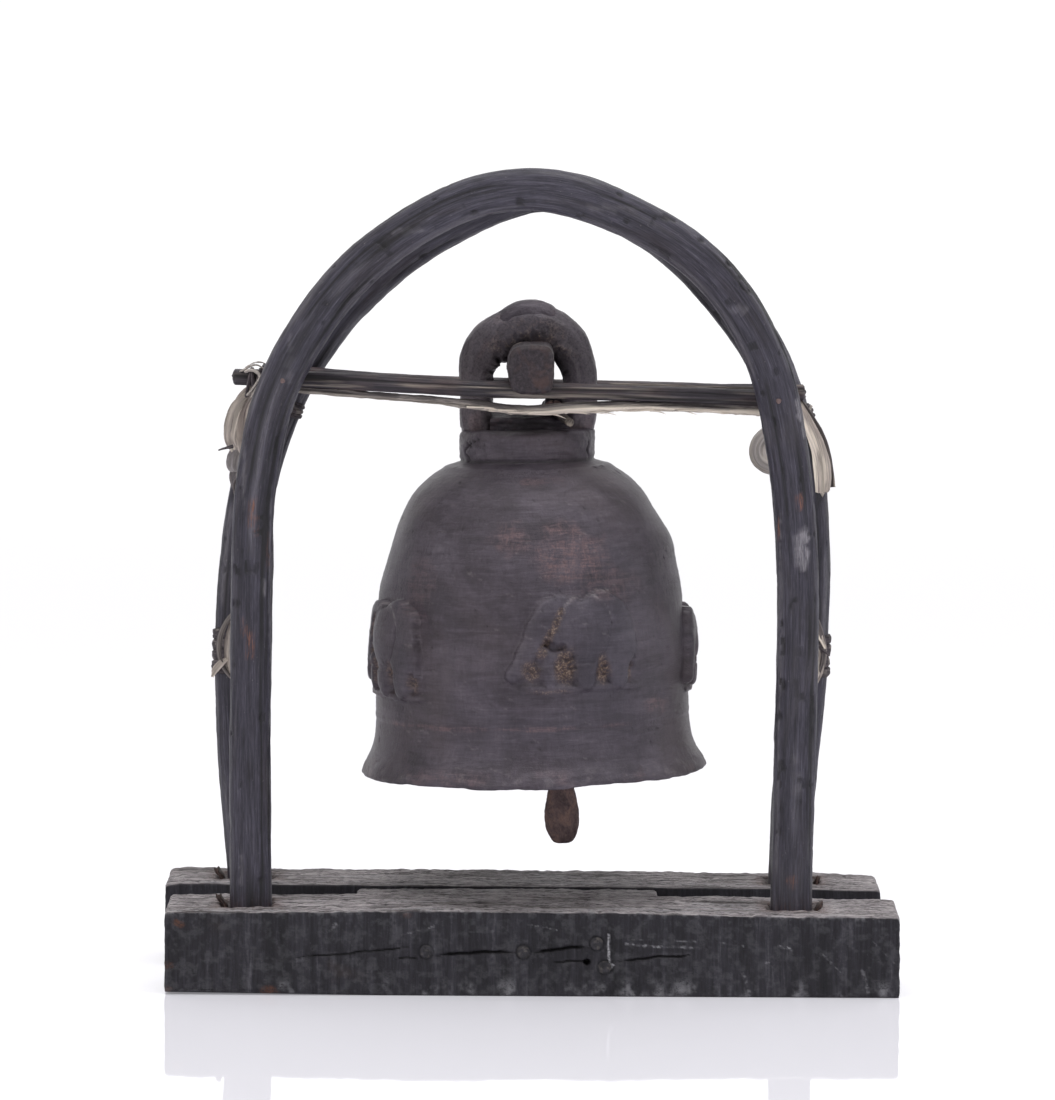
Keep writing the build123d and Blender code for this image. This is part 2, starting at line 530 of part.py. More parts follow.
HANGER_TOP = TWIG_MID_Z + TWIG_R + 0.55 + WIRE_R    # wire centre over the twig
HANGER_W = 4.2                                        # centreline half width
HANGER_BOT = 258.5
with BuildPart() as clapper_hanger:
    with BuildLine(Plane.XZ) as path:
        Line((HANG_X - HANGER_W, HANGER_BOT + HANGER_W), (HANG_X - HANGER_W, HANGER_TOP - HANGER_W))
        ThreePointArc((HANG_X - HANGER_W, HANGER_TOP - HANGER_W), (HANG_X, HANGER_TOP), (HANG_X + HANGER_W, HANGER_TOP - HANGER_W))
        Line((HANG_X + HANGER_W, HANGER_TOP - HANGER_W), (HANG_X + HANGER_W, HANGER_BOT + HANGER_W))
        ThreePointArc((HANG_X + HANGER_W, HANGER_BOT + HANGER_W), (HANG_X, HANGER_BOT), (HANG_X - HANGER_W, HANGER_BOT + HANGER_W))
    with BuildSketch(Plane(origin=(HANG_X - HANGER_W, 0, HANGER_BOT + HANGER_W), z_dir=(0, 0, 1))) as s:
        Circle(WIRE_R)
    sweep(path=path.line)
clapper_hanger.part.label = "clapper_hanger"

LINK_TOP = HANGER_BOT + 2 * WIRE_R + 0.2      # wire centre of the link's top
LINK_LEN = 17.0
LINK_BOT = LINK_TOP - LINK_LEN
with BuildPart() as clapper_link:
    with BuildLine(Plane.YZ.offset(HANG_X)) as path:
        Line((-4.9, LINK_BOT + 4.9), (-4.9, LINK_TOP - 4.9))
        ThreePointArc((-4.9, LINK_TOP - 4.9), (0, LINK_TOP), (4.9, LINK_TOP - 4.9))
        Line((4.9, LINK_TOP - 4.9), (4.9, LINK_BOT + 4.9))
        ThreePointArc((4.9, LINK_BOT + 4.9), (0, LINK_BOT), (-4.9, LINK_BOT + 4.9))
    with BuildSketch(Plane(origin=(HANG_X, -4.9, LINK_BOT + 4.9), z_dir=(0, 0, 1))) as s:
        Circle(WIRE_R)
    sweep(path=path.line)
clapper_link.part.label = "clapper_link"

EYE_WIRE = 1.8
EYE_R = 5.4
EYE_TOP = LINK_BOT + WIRE_R + EYE_WIRE + 0.2  # wire centre of the clapper eye's top
EYE_Z = EYE_TOP - EYE_R
CLAPPER_LEAN = 1.2       # the forged shank leans slightly to the right
CLAPPER_TOP = EYE_Z - EYE_R
CLAPPER = [(3.4, 0.5), (3.7, -40.0), (4.2, -85.0), (4.9, -115.0), (5.9, -137.0), (7.6, -148.0), (8.8, -156.5),
           (7.6, -164.0), (4.3, -171.0)]
cc, cs = math.cos(math.radians(CLAPPER_LEAN)), math.sin(math.radians(CLAPPER_LEAN))
CLAPPER_XZ = Plane(origin=(HANG_X, 0, CLAPPER_TOP), x_dir=(cc, 0, cs), z_dir=(0, -1, 0))
with BuildPart() as clapper_tongue:
    with BuildSketch(CLAPPER_XZ) as s:
        with BuildLine() as l:
            Line((0, CLAPPER[0][1]), CLAPPER[0])
            Spline(*CLAPPER)
            Line(CLAPPER[-1], (0, CLAPPER[-1][1]))
            Line((0, CLAPPER[-1][1]), (0, CLAPPER[0][1]))
        make_face()
    revolve(axis=Axis((HANG_X, 0, CLAPPER_TOP), (-cs, 0, cc)))
    with BuildLine(Plane.XZ) as path:
        CenterArc((HANG_X, EYE_Z), EYE_R, 0, 360)
    with BuildSketch(Plane(origin=(HANG_X + EYE_R, 0, EYE_Z), z_dir=(0, 0, 1))) as s:
        Circle(EYE_WIRE)
    sweep(path=path.line)
clapper_tongue.part.label = "clapper_tongue"

# ---------------------------------------------------------------- write the parts
PARTS = [front_beam, rear_beam, spacer_block, front_treenails, rear_treenails, front_arch, rear_arch, leg_wedges,
         front_rod, rear_rod, toggle_bar, cane_strip, rod_nails, left_collar, right_collar, left_leg_tie,
         right_leg_tie, rod_end_wrap, left_bark_strip, right_bark_tail, right_bark_loop, bell_casting, clapper_twig,
         clapper_hanger, clapper_link, clapper_tongue]
for b in PARTS:
    export_step(b.part, f"parts/{b.part.label}.step")
print("hinges: bell", (PIVOT_X, PIVOT_Z), "link", (HANG_X, LINK_TOP), "clapper", (HANG_X, EYE_TOP))
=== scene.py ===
import bpy
import math
import numpy as np
from mathutils import Matrix, Vector

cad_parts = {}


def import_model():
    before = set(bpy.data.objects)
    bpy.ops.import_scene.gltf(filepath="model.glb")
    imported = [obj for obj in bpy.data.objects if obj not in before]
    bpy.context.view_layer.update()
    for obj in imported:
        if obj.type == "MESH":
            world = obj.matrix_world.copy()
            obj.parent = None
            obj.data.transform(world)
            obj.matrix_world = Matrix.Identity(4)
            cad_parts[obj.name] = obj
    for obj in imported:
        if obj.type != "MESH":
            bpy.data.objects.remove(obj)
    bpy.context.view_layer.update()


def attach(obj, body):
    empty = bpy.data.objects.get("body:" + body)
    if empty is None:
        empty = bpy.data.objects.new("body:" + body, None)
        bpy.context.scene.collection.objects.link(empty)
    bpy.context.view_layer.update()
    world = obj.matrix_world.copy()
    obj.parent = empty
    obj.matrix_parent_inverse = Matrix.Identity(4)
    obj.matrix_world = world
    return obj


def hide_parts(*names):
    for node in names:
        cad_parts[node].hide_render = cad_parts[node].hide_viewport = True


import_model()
MM = 0.001


# ------------------------------------------------------------------ noise and curves
def _hash(ix, iy, iz, seed):
    h = (ix * 374761393 + iy * 668265263 + iz * 1440662683 + seed * 974634777) & 0xFFFFFFFF
    h = ((h ^ (h >> 13)) * 1274126177) & 0xFFFFFFFF
    h = ((h ^ (h >> 16)) * 2246822519) & 0xFFFFFFFF
    return (h ^ (h >> 15)) / 4294967295.0 * 2.0 - 1.0


def vnoise(p, seed=0):
    """Smooth noise in -1..1 at points p (n, 3)."""
    i = np.floor(p).astype(np.int64)
    f = p - i
    u = f * f * f * (f * (f * 6 - 15) + 10)
    out = np.zeros(len(p))
    for dx in (0, 1):
        wx = u[:, 0] if dx else 1 - u[:, 0]
        for dy in (0, 1):
            wy = u[:, 1] if dy else 1 - u[:, 1]
            for dz in (0, 1):
                wz = u[:, 2] if dz else 1 - u[:, 2]
                out += wx * wy * wz * _hash(i[:, 0] + dx, i[:, 1] + dy, i[:, 2] + dz, seed)
    return out


def fbm(p, seed=0, octaves=4, gain=0.5):
    p = np.asarray(p, float).reshape(-1, 3)
    out, amp = np.zeros(len(p)), 1.0
    for k in range(octaves):
        out += amp * vnoise(p * 2.03 ** k + 17.3 * k, seed + 31 * k)
        amp *= gain
    return out


def smooth01(x, a, b):
    t = np.clip((np.asarray(x, float) - a) / (b - a), 0, 1)
    return t * t * (3 - 2 * t)


def bump1(x, c, w):
    return np.exp(-((np.asarray(x, float) - c) / w) ** 2)


def curve_through(points, step=0.8, smooth=0.0):
    """Natural cubic spline through points, resampled evenly, lightly smoothed with its ends kept."""
    P = np.array(points, float)
    t = np.r_[0, np.cumsum(np.linalg.norm(np.diff(P, axis=0), axis=1))]
    n, h = len(P), np.diff(t)
    A, R = np.zeros((n, n)), np.zeros((n, P.shape[1]))
    A[0, 0] = A[-1, -1] = 1
    for i in range(1, n - 1):
        A[i, i - 1], A[i, i], A[i, i + 1] = h[i - 1], 2 * (h[i - 1] + h[i]), h[i]
        R[i] = 6 * ((P[i + 1] - P[i]) / h[i] - (P[i] - P[i - 1]) / h[i - 1])
    m = np.linalg.solve(A, R)

    def at(s):
        i = np.clip(np.searchsorted(t, s, side="right") - 1, 0, n - 2)
        hh, a, b = h[i][:, None], (t[i + 1] - s)[:, None], (s - t[i])[:, None]
        return (m[i] * a ** 3 + m[i + 1] * b ** 3) / (6 * hh) + (P[i] / hh - m[i] * hh / 6) * a + (P[i + 1] / hh - m[i + 1] * hh / 6) * b

    fine = at(np.linspace(0, t[-1], 3000))
    if smooth:
        k = max(1, int(smooth / (t[-1] / 3000)))
        w = np.exp(-0.5 * (np.arange(-3 * k, 3 * k + 1) / k) ** 2)
        w /= w.sum()
        pad = np.vstack([2 * fine[0] - fine[1:3 * k + 1][::-1], fine, 2 * fine[-1] - fine[-3 * k - 1:-1][::-1]])
        fine = np.column_stack([np.convolve(pad[:, c], w, "valid") for c in range(P.shape[1])])
    s = np.r_[0, np.cumsum(np.linalg.norm(np.diff(fine, axis=0), axis=1))]
    q = np.linspace(0, s[-1], max(3, int(round(s[-1] / step)) + 1))
    return np.column_stack([np.interp(q, s, fine[:, c]) for c in range(P.shape[1])]), q


# ------------------------------------------------------------------ mesh making
def make(name, verts, quads, tris=(), attrs=None, material=None, body="stand", replaces=None):
    """A smooth mesh object from millimetre vertices, with point attributes."""
    verts = np.asarray(verts, float)
    me = bpy.data.meshes.new(name)
    quads = np.asarray(quads, np.int32).reshape(-1, 4)
    tris = np.asarray(tris, np.int32).reshape(-1, 3)
    me.vertices.add(len(verts))
    me.vertices.foreach_set("co", (verts * MM).astype(np.float32).ravel())
    loops = np.concatenate([quads.ravel(), tris.ravel()])
    me.loops.add(len(loops))
    me.loops.foreach_set("vertex_index", loops)
    starts = np.concatenate([np.arange(len(quads)) * 4, len(quads) * 4 + np.arange(len(tris)) * 3])
    me.polygons.add(len(starts))
    me.polygons.foreach_set("loop_start", starts.astype(np.int32))
    me.polygons.foreach_set("use_smooth", np.ones(len(starts), bool))
    me.update(calc_edges=True)
    me.validate()
    for key, val in (attrs or {}).items():
        val = np.asarray(val, np.float32)
        if val.ndim == 2:
            a = me.attributes.new(key, "FLOAT_VECTOR", "POINT")
            a.data.foreach_set("vector", val.ravel())
        else:
            a = me.attributes.new(key, "FLOAT", "POINT")
            a.data.foreach_set("value", val.ravel())
    ob = bpy.data.objects.new(name, me)
    bpy.context.scene.collection.objects.link(ob)
    if material:
        me.materials.append(material)
    if body:
        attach(ob, body)
    if replaces:
        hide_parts(*([replaces] if isinstance(replaces, str) else replaces))
    return ob


def ring_quads(n, k, base=0, wrap=False):
    """Quads between n rings of k points each, closed round each ring; outward when rings turn anticlockwise seen from the far end."""
    i = np.arange(n if wrap else n - 1)[:, None]
    j = np.arange(k)[None, :]
    a, b = i * k + j, i * k + (j + 1) % k
    c, d = ((i + 1) % n) * k + (j + 1) % k, ((i + 1) % n) * k + j
    return base + np.stack([a, b, c, d], -1).reshape(-1, 4)


class Sweep:
    """Rings of k points along a path: local offsets (u along N, w along B) that can be displaced before they are placed."""

    def __init__(self, path, s, N, B, k=40):
        self.P, self.s, self.k = np.asarray(path, float), np.asarray(s, float), k
        n = len(self.P)
        self.N = np.broadcast_to(N, (n, 3)).copy()
        self.B = np.broadcast_to(B, (n, 3)).copy()
        self.phi = np.linspace(0, 2 * np.pi, k, endpoint=False)

    def superellipse(self, a, b, e=3.0, turn=0.0):
        n = len(self.P)
        a, b = np.broadcast_to(a, n)[:, None], np.broadcast_to(b, n)[:, None]
        c, d = np.cos(self.phi + turn)[None], np.sin(self.phi + turn)[None]
        self.u = a * np.sign(c) * np.abs(c) ** (2 / e)
        self.w = b * np.sign(d) * np.abs(d) ** (2 / e)
        return self

    def local(self, scale=(1, 1, 1)):
        S = np.broadcast_to(self.s[:, None], self.u.shape)
        return np.stack([S * scale[0], self.u * scale[1], self.w * scale[2]], -1).reshape(-1, 3)

    def push(self, d):
        """Moves each point outward in its ring by d millimetres."""
        d = np.asarray(d, float).reshape(self.u.shape)
        r = np.hypot(self.u, self.w) + 1e-9
        self.u, self.w = self.u * (1 + d / r), self.w * (1 + d / r)
        return self

    def ends(self, r0=1.5, r1=1.5, steps=6):
        """Rounds both ends off by pulling the last rings in, over r millimetres of length."""
        for r, end in ((r0, 0), (r1, 1)):
            if r <= 0:
                continue
            dist = self.s - self.s[0] if end == 0 else self.s[-1] - self.s
            rad = np.hypot(self.u, self.w)
            inset = np.where(dist < r, r - np.sqrt(np.maximum(r * r - (r - np.minimum(dist, r)) ** 2, 0)), 0)[:, None]
            f = np.clip((rad - inset) / (rad + 1e-9), 0.05, 1)
            self.u, self.w = self.u * f, self.w * f
        return self

    def verts(self):
        return (self.P[:, None, :] + self.u[..., None] * self.N[:, None, :] + self.w[..., None] * self.B[:, None, :]).reshape(-1, 3)

    def mesh(self, name, material, body, replaces, slot, attrs=None, cap_scales=(0.75, 0.45, 0.18), cap_noise=0.0, seed=5):
        V, n, k = self.verts(), len(self.P), self.k
        loc = self.local()
        A = {"gco": loc * MM}
        for key, val in (attrs or {}).items():
            A[key] = np.asarray(val, float).reshape(-1)
        quads = [ring_quads(n, k)]
        extra, tri, add = [], [], {key: [] for key in A}
        count = n * k
        for end in (0, n - 1):
            idx = np.arange(end * k, end * k + k)
            c = V[idx].mean(0)
            prev = idx
            t = np.cross(self.N[end], self.B[end])
            t = t / np.linalg.norm(t)
            for m, f in enumerate(cap_scales):
                ring = c + (V[idx] - c) * f
                if cap_noise:
                    ring = ring + t * (cap_noise * fbm(ring * 0.35, seed + m, 3))[:, None]
                extra.append(ring)
                for key in A:
                    src = A[key][idx]
                    mid = src.mean(0)
                    add[key].append(mid + (src - mid) * f)
                new = np.arange(count, count + k)
                j = (np.arange(k) + 1) % k
                q = np.stack([prev, prev[j], new[j], new], -1)
                quads.append(q[:, ::-1] if end == 0 else q)
                prev = new
                count += k
            extra.append(c[None])
            for key in A:
                add[key].append(A[key][idx].mean(0)[None])
            j = (np.arange(k) + 1) % k
            tr = np.stack([prev, prev[j], np.full(k, count)], -1)
            tri.append(tr[:, ::-1] if end == 0 else tr)
            count += 1
        V = np.vstack([V] + extra)
        A = {key: np.concatenate([A[key]] + add[key]) for key in A}
        Q = np.vstack(quads)
        # turn everything if the frame is left-handed along the path
        t = self.P[min(1, n - 1)] - self.P[0]
        if np.dot(np.cross(self.N[0], self.B[0]), t) < 0:
            Q, tri = Q[:, ::-1], [x[:, ::-1] for x in tri]
        return make(name, V, Q, np.vstack(tri), A, material, body, replaces)


def transport(path, up):
    """Frames along a 3-D path: N stays as near to the first up as it can."""
    P = np.asarray(path, float)
    T = np.gradient(P, axis=0)
    T /= np.linalg.norm(T, axis=1)[:, None]
    N = np.zeros_like(P)
    v = np.array(up, float)
    for i in range(len(P)):
        v = v - T[i] * np.dot(v, T[i])
        v /= np.linalg.norm(v)
        N[i] = v
    return N, np.cross(T, N)


# ------------------------------------------------------------------ materials
class Mat:
    def __init__(self, name, rough=0.6, metallic=0.0, spec=0.5):
        self.m = bpy.data.materials.new(name)
        self.m.use_nodes = True
        self.t = self.m.node_tree
        self.n = self.t.nodes
        self.b = self.n["Principled BSDF"]
        self.b.inputs["Roughness"].default_value = rough
        self.b.inputs["Metallic"].default_value = metallic
        self.b.inputs["Specular IOR Level"].default_value = spec

    def link(self, a, b):
        self.t.links.new(a, b)

    def put(self, sock, val):
        if isinstance(val, bpy.types.NodeSocket):
            self.link(val, sock)
        elif isinstance(val, (tuple, list)) and len(val) == 3 and sock.type == "RGBA":
            sock.default_value = (*val, 1)
        else:
            sock.default_value = val

    def attr(self, name, vec=False):
        a = self.n.new("ShaderNodeAttribute")
        a.attribute_name = name
        return a.outputs["Vector"] if vec else a.outputs["Fac"]

    def mapped(self, vec, scale=(1, 1, 1), loc=(0, 0, 0)):
        m = self.n.new("ShaderNodeMapping")
        self.put(m.inputs["Vector"], vec)
        m.inputs["Scale"].default_value = scale
        m.inputs["Location"].default_value = loc
        return m.outputs["Vector"]

    def noise(self, vec, scale, detail=5, rough=0.55, dist=0.0, stretch=(1, 1, 1), loc=(0, 0, 0)):
        x = self.n.new("ShaderNodeTexNoise")
        self.put(x.inputs["Vector"], self.mapped(vec, stretch, loc))
        x.inputs["Scale"].default_value = scale
        x.inputs["Detail"].default_value = detail
        x.inputs["Roughness"].default_value = rough
        x.inputs["Distortion"].default_value = dist
        return x.outputs["Fac"]

    def voronoi(self, vec, scale, stretch=(1, 1, 1), feature="F1", loc=(0, 0, 0)):
        x = self.n.new("ShaderNodeTexVoronoi")
        x.feature = feature
        self.put(x.inputs["Vector"], self.mapped(vec, stretch, loc))
        x.inputs["Scale"].default_value = scale
        return x.outputs["Distance"]

    def range(self, fac, a, b, lo=0.0, hi=1.0, smooth=True):
        r = self.n.new("ShaderNodeMapRange")
        r.interpolation_type = "SMOOTHSTEP" if smooth else "LINEAR"
        self.put(r.inputs["Value"], fac)
        for key, v in (("From Min", a), ("From Max", b), ("To Min", lo), ("To Max", hi)):
            r.inputs[key].default_value = v
        return r.outputs["Result"]

    def op(self, kind, a, b=0.0, clamp=False):
        x = self.n.new("ShaderNodeMath")
        x.operation = kind
        x.use_clamp = clamp
        self.put(x.inputs[0], a)
        self.put(x.inputs[1], b)
        return x.outputs[0]

    def ramp(self, fac, stops):
        r = self.n.new("ShaderNodeValToRGB")
        self.put(r.inputs["Fac"], fac)
        e = r.color_ramp.elements
        while len(e) < len(stops):
            e.new(0.5)
        for el, (p, c) in zip(e, stops):
            el.position, el.color = p, (*c, 1)
        return r.outputs["Color"]

    def mix(self, fac, a, b, kind="MIX"):
        x = self.n.new("ShaderNodeMix")
        x.data_type = "RGBA"
        x.blend_type = kind
        x.clamp_result = True
        self.put(x.inputs["Factor"], fac)
        self.put(x.inputs["A"] if False else [i for i in x.inputs if i.name == "A" and i.type == "RGBA"][0], a)
        self.put([i for i in x.inputs if i.name == "B" and i.type == "RGBA"][0], b)
        return [o for o in x.outputs if o.type == "RGBA"][0]

    def bump(self, height, strength=0.5, dist=0.001, normal=None):
        x = self.n.new("ShaderNodeBump")
        self.put(x.inputs["Height"], height)
        x.inputs["Strength"].default_value = strength
        x.inputs["Distance"].default_value = dist
        if normal is not None:
            self.link(normal, x.inputs["Normal"])
        return x.outputs["Normal"]

    def pointiness(self):
        g = self.n.new("ShaderNodeNewGeometry")
        return g.outputs["Pointiness"]

    def done(self, color, rough=None, normal=None):
        self.put(self.b.inputs["Base Color"], color)
        if rough is not None:
            self.put(self.b.inputs["Roughness"], rough)
        if normal is not None:
            self.link(normal, self.b.inputs["Normal"])
        return self.m


def srgb(r, g, b, k=1.0):
    def lin(c):
        c /= 255.0
        return c / 12.92 if c <= 0.04045 else ((c + 0.055) / 1.055) ** 2.4
    return tuple(min(1.0, lin(c) * k) for c in (r, g, b))


# ------------------------------------------------------------------ materials of the object
def dark_hoop(name):
    """Smoke-blackened bent wood: long fine grain, pale worn patches and a painted highlight along the arrises, orange
    bare scars.
    """
    m = Mat(name, rough=0.5, spec=0.45)
    g = m.attr("gco", True)
    wide = m.noise(g, 1.0, 6, 0.62, 0.3, (14, 300, 300))
    thin = m.noise(g, 1.0, 6, 0.7, 0.2, (48, 1250, 1250), (3, 2, 2))
    streak = m.op("ADD", m.op("MULTIPLY", wide, 0.36), m.op("MULTIPLY", thin, 0.64))
    fine = m.noise(g, 1.0, 5, 0.7, 0.0, (170, 2400, 2400))
    blot = m.noise(g, 1.0, 4, 0.55, 0.4, (14, 60, 60), (3, 1, 7))
    spots = m.noise(g, 1.0, 4, 0.75, 0.0, (420, 900, 900), (9, 2, 1))
    c = m.ramp(streak, [(0.34, srgb(24, 22, 29)), (0.47, srgb(48, 45, 56)), (0.57, srgb(72, 69, 82)), (0.72, srgb(114, 111, 121))])
    c = m.mix(m.range(fine, 0.48, 0.72, 0.0, 0.60), c, srgb(24, 22, 27))
    c = m.mix(m.range(fine, 0.44, 0.26, 0.0, 0.35), c, srgb(104, 101, 106))
    c = m.mix(m.range(blot, 0.52, 0.75, 0.0, 0.40), c, srgb(88, 83, 86))
    c = m.mix(m.range(blot, 0.44, 0.24, 0.0, 0.40), c, srgb(50, 40, 40))
    # pale: worn patches, and the painted highlight along the hoop arrises
    pale = m.op("MULTIPLY", m.attr("pale"), m.range(fine, 0.30, 0.66), True)
    c = m.mix(pale, c, srgb(158, 154, 160))
    c = m.mix(m.range(spots, 0.66, 0.74, 0.0, 0.75), c, srgb(146, 140, 142))
    scar = m.op("MULTIPLY", m.attr("scar"), m.range(m.noise(g, 1.0, 6, 0.7, 0.2, (120, 1500, 1500), (1, 5, 2)), 0.46, 0.60), True)
    c = m.mix(scar, c, m.ramp(fine, [(0.3, srgb(84, 54, 48)), (0.7, srgb(168, 112, 86))]))
    c = m.mix(m.attr("dark"), c, srgb(14, 12, 13))
    h = m.op("ADD", m.op("MULTIPLY", streak, 1.1), m.op("MULTIPLY", fine, 0.4))
    r = m.range(streak, 0.3, 0.75, 0.40, 0.64)
    return m.done(c, r, m.bump(h, 0.6, 0.0012))


def beam_wood(name):
    """Hewn, smoke-dark timber: charcoal faces with pale vertical saw chatter, a top face coloured much lighter grey
    along its grain.
    """
    m = Mat(name, rough=0.6, spec=0.35)
    g = m.attr("gco", True)
    top = m.attr("top")
    chatter = m.noise(g, 1.0, 7, 0.74, 0.4, (380, 300, 30))
    chatter2 = m.noise(g, 1.0, 6, 0.66, 0.5, (95, 60, 11), (4, 2, 9))
    grain = m.noise(g, 1.0, 8, 0.78, 0.25, (60, 820, 760))
    fine = m.noise(g, 1.0, 6, 0.78, 0.0, (900, 1100, 1100), (2, 2, 2))
    blot = m.noise(g, 1.0, 4, 0.5, 0.6, (22, 60, 34), (8, 3, 1))
    v = m.op("ADD", m.op("MULTIPLY", chatter, 0.45), m.op("ADD", m.op("MULTIPLY", chatter2, 0.35), m.op("MULTIPLY", fine, 0.20)))
    face = m.ramp(v, [(0.38, srgb(19, 18, 23)), (0.48, srgb(34, 32, 38)), (0.56, srgb(51, 49, 56)), (0.68, srgb(94, 92, 98))])
    face = m.mix(m.range(grain, 0.56, 0.78, 0.0, 0.5), face, srgb(20, 18, 22))
    # the top face is coloured much lighter grey than the charcoal sides
    tops = m.ramp(grain, [(0.34, srgb(42, 38, 40)), (0.44, srgb(118, 112, 114)), (0.55, srgb(186, 178, 180)), (0.70, srgb(232, 224, 226))])
    tops = m.mix(m.range(blot, 0.45, 0.7, 0.0, 0.45), tops, srgb(70, 62, 58))
    c = m.mix(top, face, tops)
    c = m.mix(m.range(fine, 0.60, 0.74, 0.0, 0.45), c, srgb(126, 122, 126))
    c = m.mix(m.range(fine, 0.42, 0.28, 0.0, 0.5), c, srgb(24, 22, 26))
    c = m.mix(m.range(blot, 0.60, 0.74, 0.0, 0.25), c, srgb(70, 58, 54))
    pale = m.op("MULTIPLY", m.attr("pale"), m.range(m.noise(g, 1.0, 5, 0.7, 0.0, (500, 500, 700), (5, 5, 1)), 0.28, 0.58), True)
    c = m.mix(pale, c, srgb(186, 185, 190))
    rust = m.op("MULTIPLY", m.attr("scar"), m.range(fine, 0.35, 0.6), True)
    c = m.mix(rust, c, srgb(104, 64, 44))
    c = m.mix(m.attr("dark"), c, srgb(8, 7, 8))
    h = m.op("ADD", m.op("MULTIPLY", m.mix(top, chatter, grain), 0.9), m.op("MULTIPLY", fine, 0.45))
    return m.done(c, m.range(fine, 0.3, 0.7, 0.5, 0.75), m.bump(h, 0.8, 0.0016))


def plain_wood(name, lo, mid, hi, stretch=(30, 500, 500), rough=0.55, red=None, bump=0.6, dist=0.001):
    m = Mat(name, rough=rough, spec=0.4)
    g = m.attr("gco", True)
    grain = m.noise(g, 1.0, 7, 0.64, 0.3, stretch)
    fine = m.noise(g, 1.0, 5, 0.7, 0.0, (stretch[0] * 8, stretch[1] * 2.4, stretch[2] * 2.4), (1, 4, 2))
    blot = m.noise(g, 1.0, 4, 0.55, 0.6, (40, 90, 90), (7, 7, 1))
    c = m.ramp(grain, [(0.3, lo), (0.5, mid), (0.74, hi)])
    if red:
        c = m.mix(m.range(blot, 0.46, 0.70, 0.0, 0.65), c, red)
    c = m.mix(m.range(fine, 0.5, 0.75, 0.0, 0.5), c, lo)
    pale = m.op("MULTIPLY", m.attr("pale"), m.range(grain, 0.30, 0.62), True)
    c = m.mix(pale, c, srgb(196, 184, 168))
    c = m.mix(m.attr("dark"), c, srgb(12, 10, 10))
    h = m.op("ADD", m.op("MULTIPLY", grain, 0.7), m.op("MULTIPLY", fine, 0.4))
    return m.done(c, m.range(fine, 0.3, 0.7, rough - 0.1, rough + 0.14), m.bump(h, bump, dist))


def bronze(name):
    """Brown-black patina with fine turned lines round the wall, rubbed copper-red patches and dusty scratches."""
    m = Mat(name, rough=0.45, metallic=0.35, spec=0.5)
    g = m.attr("gco", True)
    lines = m.noise(g, 1.0, 6, 0.72, 0.9, (60, 60, 560))
    lines2 = m.noise(g, 1.0, 5, 0.66, 1.2, (34, 34, 150), (5, 3, 2))
    brushed = m.noise(m.mapped(g, (1, 1, 1)), 1.0, 5, 0.7, 1.2, (210, 210, 90), (2, 8, 1))
    slant = m.noise(g, 1.0, 6, 0.72, 0.8, (420, 420, 120), (6, 1, 5))
    grit = m.noise(g, 1.0, 6, 0.75, 0.0, (900, 900, 900))
    blot = m.noise(g, 1.0, 5, 0.6, 0.7, (26, 26, 30), (1, 9, 3))
    big = m.noise(g, 1.0, 3, 0.5, 0.5, (11, 11, 12), (4, 4, 8))
    v = m.op("ADD", m.op("ADD", m.op("MULTIPLY", lines, 0.22), m.op("MULTIPLY", slant, 0.16)),
             m.op("ADD", m.op("MULTIPLY", lines2, 0.24), m.op("MULTIPLY", blot, 0.38)))
    c = m.ramp(v, [(0.36, srgb(49, 43, 49)), (0.47, srgb(69, 62, 70)), (0.55, srgb(86, 79, 88)), (0.68, srgb(116, 109, 117))])
    # painted shade: the raised elephant figures are coloured darker and bluer here; the loop and its lap get only a
    # slight cool tint
    c = m.mix(m.attr("cool_tint_and_shade"), c, m.ramp(v, [(0.38, srgb(44, 41, 50)), (0.60, srgb(82, 78, 89))]))
    c = m.mix(m.range(big, 0.45, 0.66, 0.0, 0.30), c, srgb(92, 80, 80))
    c = m.mix(m.range(big, 0.46, 0.30, 0.0, 0.28), c, srgb(62, 60, 70))
    c = m.mix(m.range(grit, 0.58, 0.74, 0.0, 0.35), c, srgb(122, 112, 116))
    c = m.mix(m.range(grit, 0.42, 0.28, 0.0, 0.40), c, srgb(42, 36, 40))
    stroke = m.op("ADD", m.op("MULTIPLY", slant, 0.45), m.op("MULTIPLY", lines, 0.55))
    copper = m.op("MULTIPLY", m.attr("copper"), m.range(stroke, 0.42, 0.60), True)
    c = m.mix(copper, c, m.ramp(grit, [(0.35, srgb(94, 74, 75)), (0.62, srgb(134, 106, 106))]))
    earth = m.op("MULTIPLY", m.attr("earth"), m.range(grit, 0.36, 0.54), True)
    c = m.mix(earth, c, m.ramp(grit, [(0.38, srgb(62, 48, 45)), (0.53, srgb(114, 92, 80)), (0.64, srgb(190, 166, 142))]))
    c = m.mix(m.op("MULTIPLY", m.attr("pale"), m.range(grit, 0.3, 0.6), True), c, srgb(178, 170, 170))
    c = m.mix(m.attr("dark"), c, srgb(20, 16, 17))
    h = m.op("ADD", m.op("MULTIPLY", lines, 0.5), m.op("ADD", m.op("MULTIPLY", grit, 0.4), m.op("ADD", m.op("MULTIPLY", blot, 0.5), m.op("MULTIPLY", slant, 0.5))))
    r = m.op("ADD", m.range(v, 0.35, 0.7, 0.34, 0.48), m.op("MULTIPLY", m.attr("earth"), 0.25), True)
    return m.done(c, r, m.bump(h, 0.6, 0.0013))


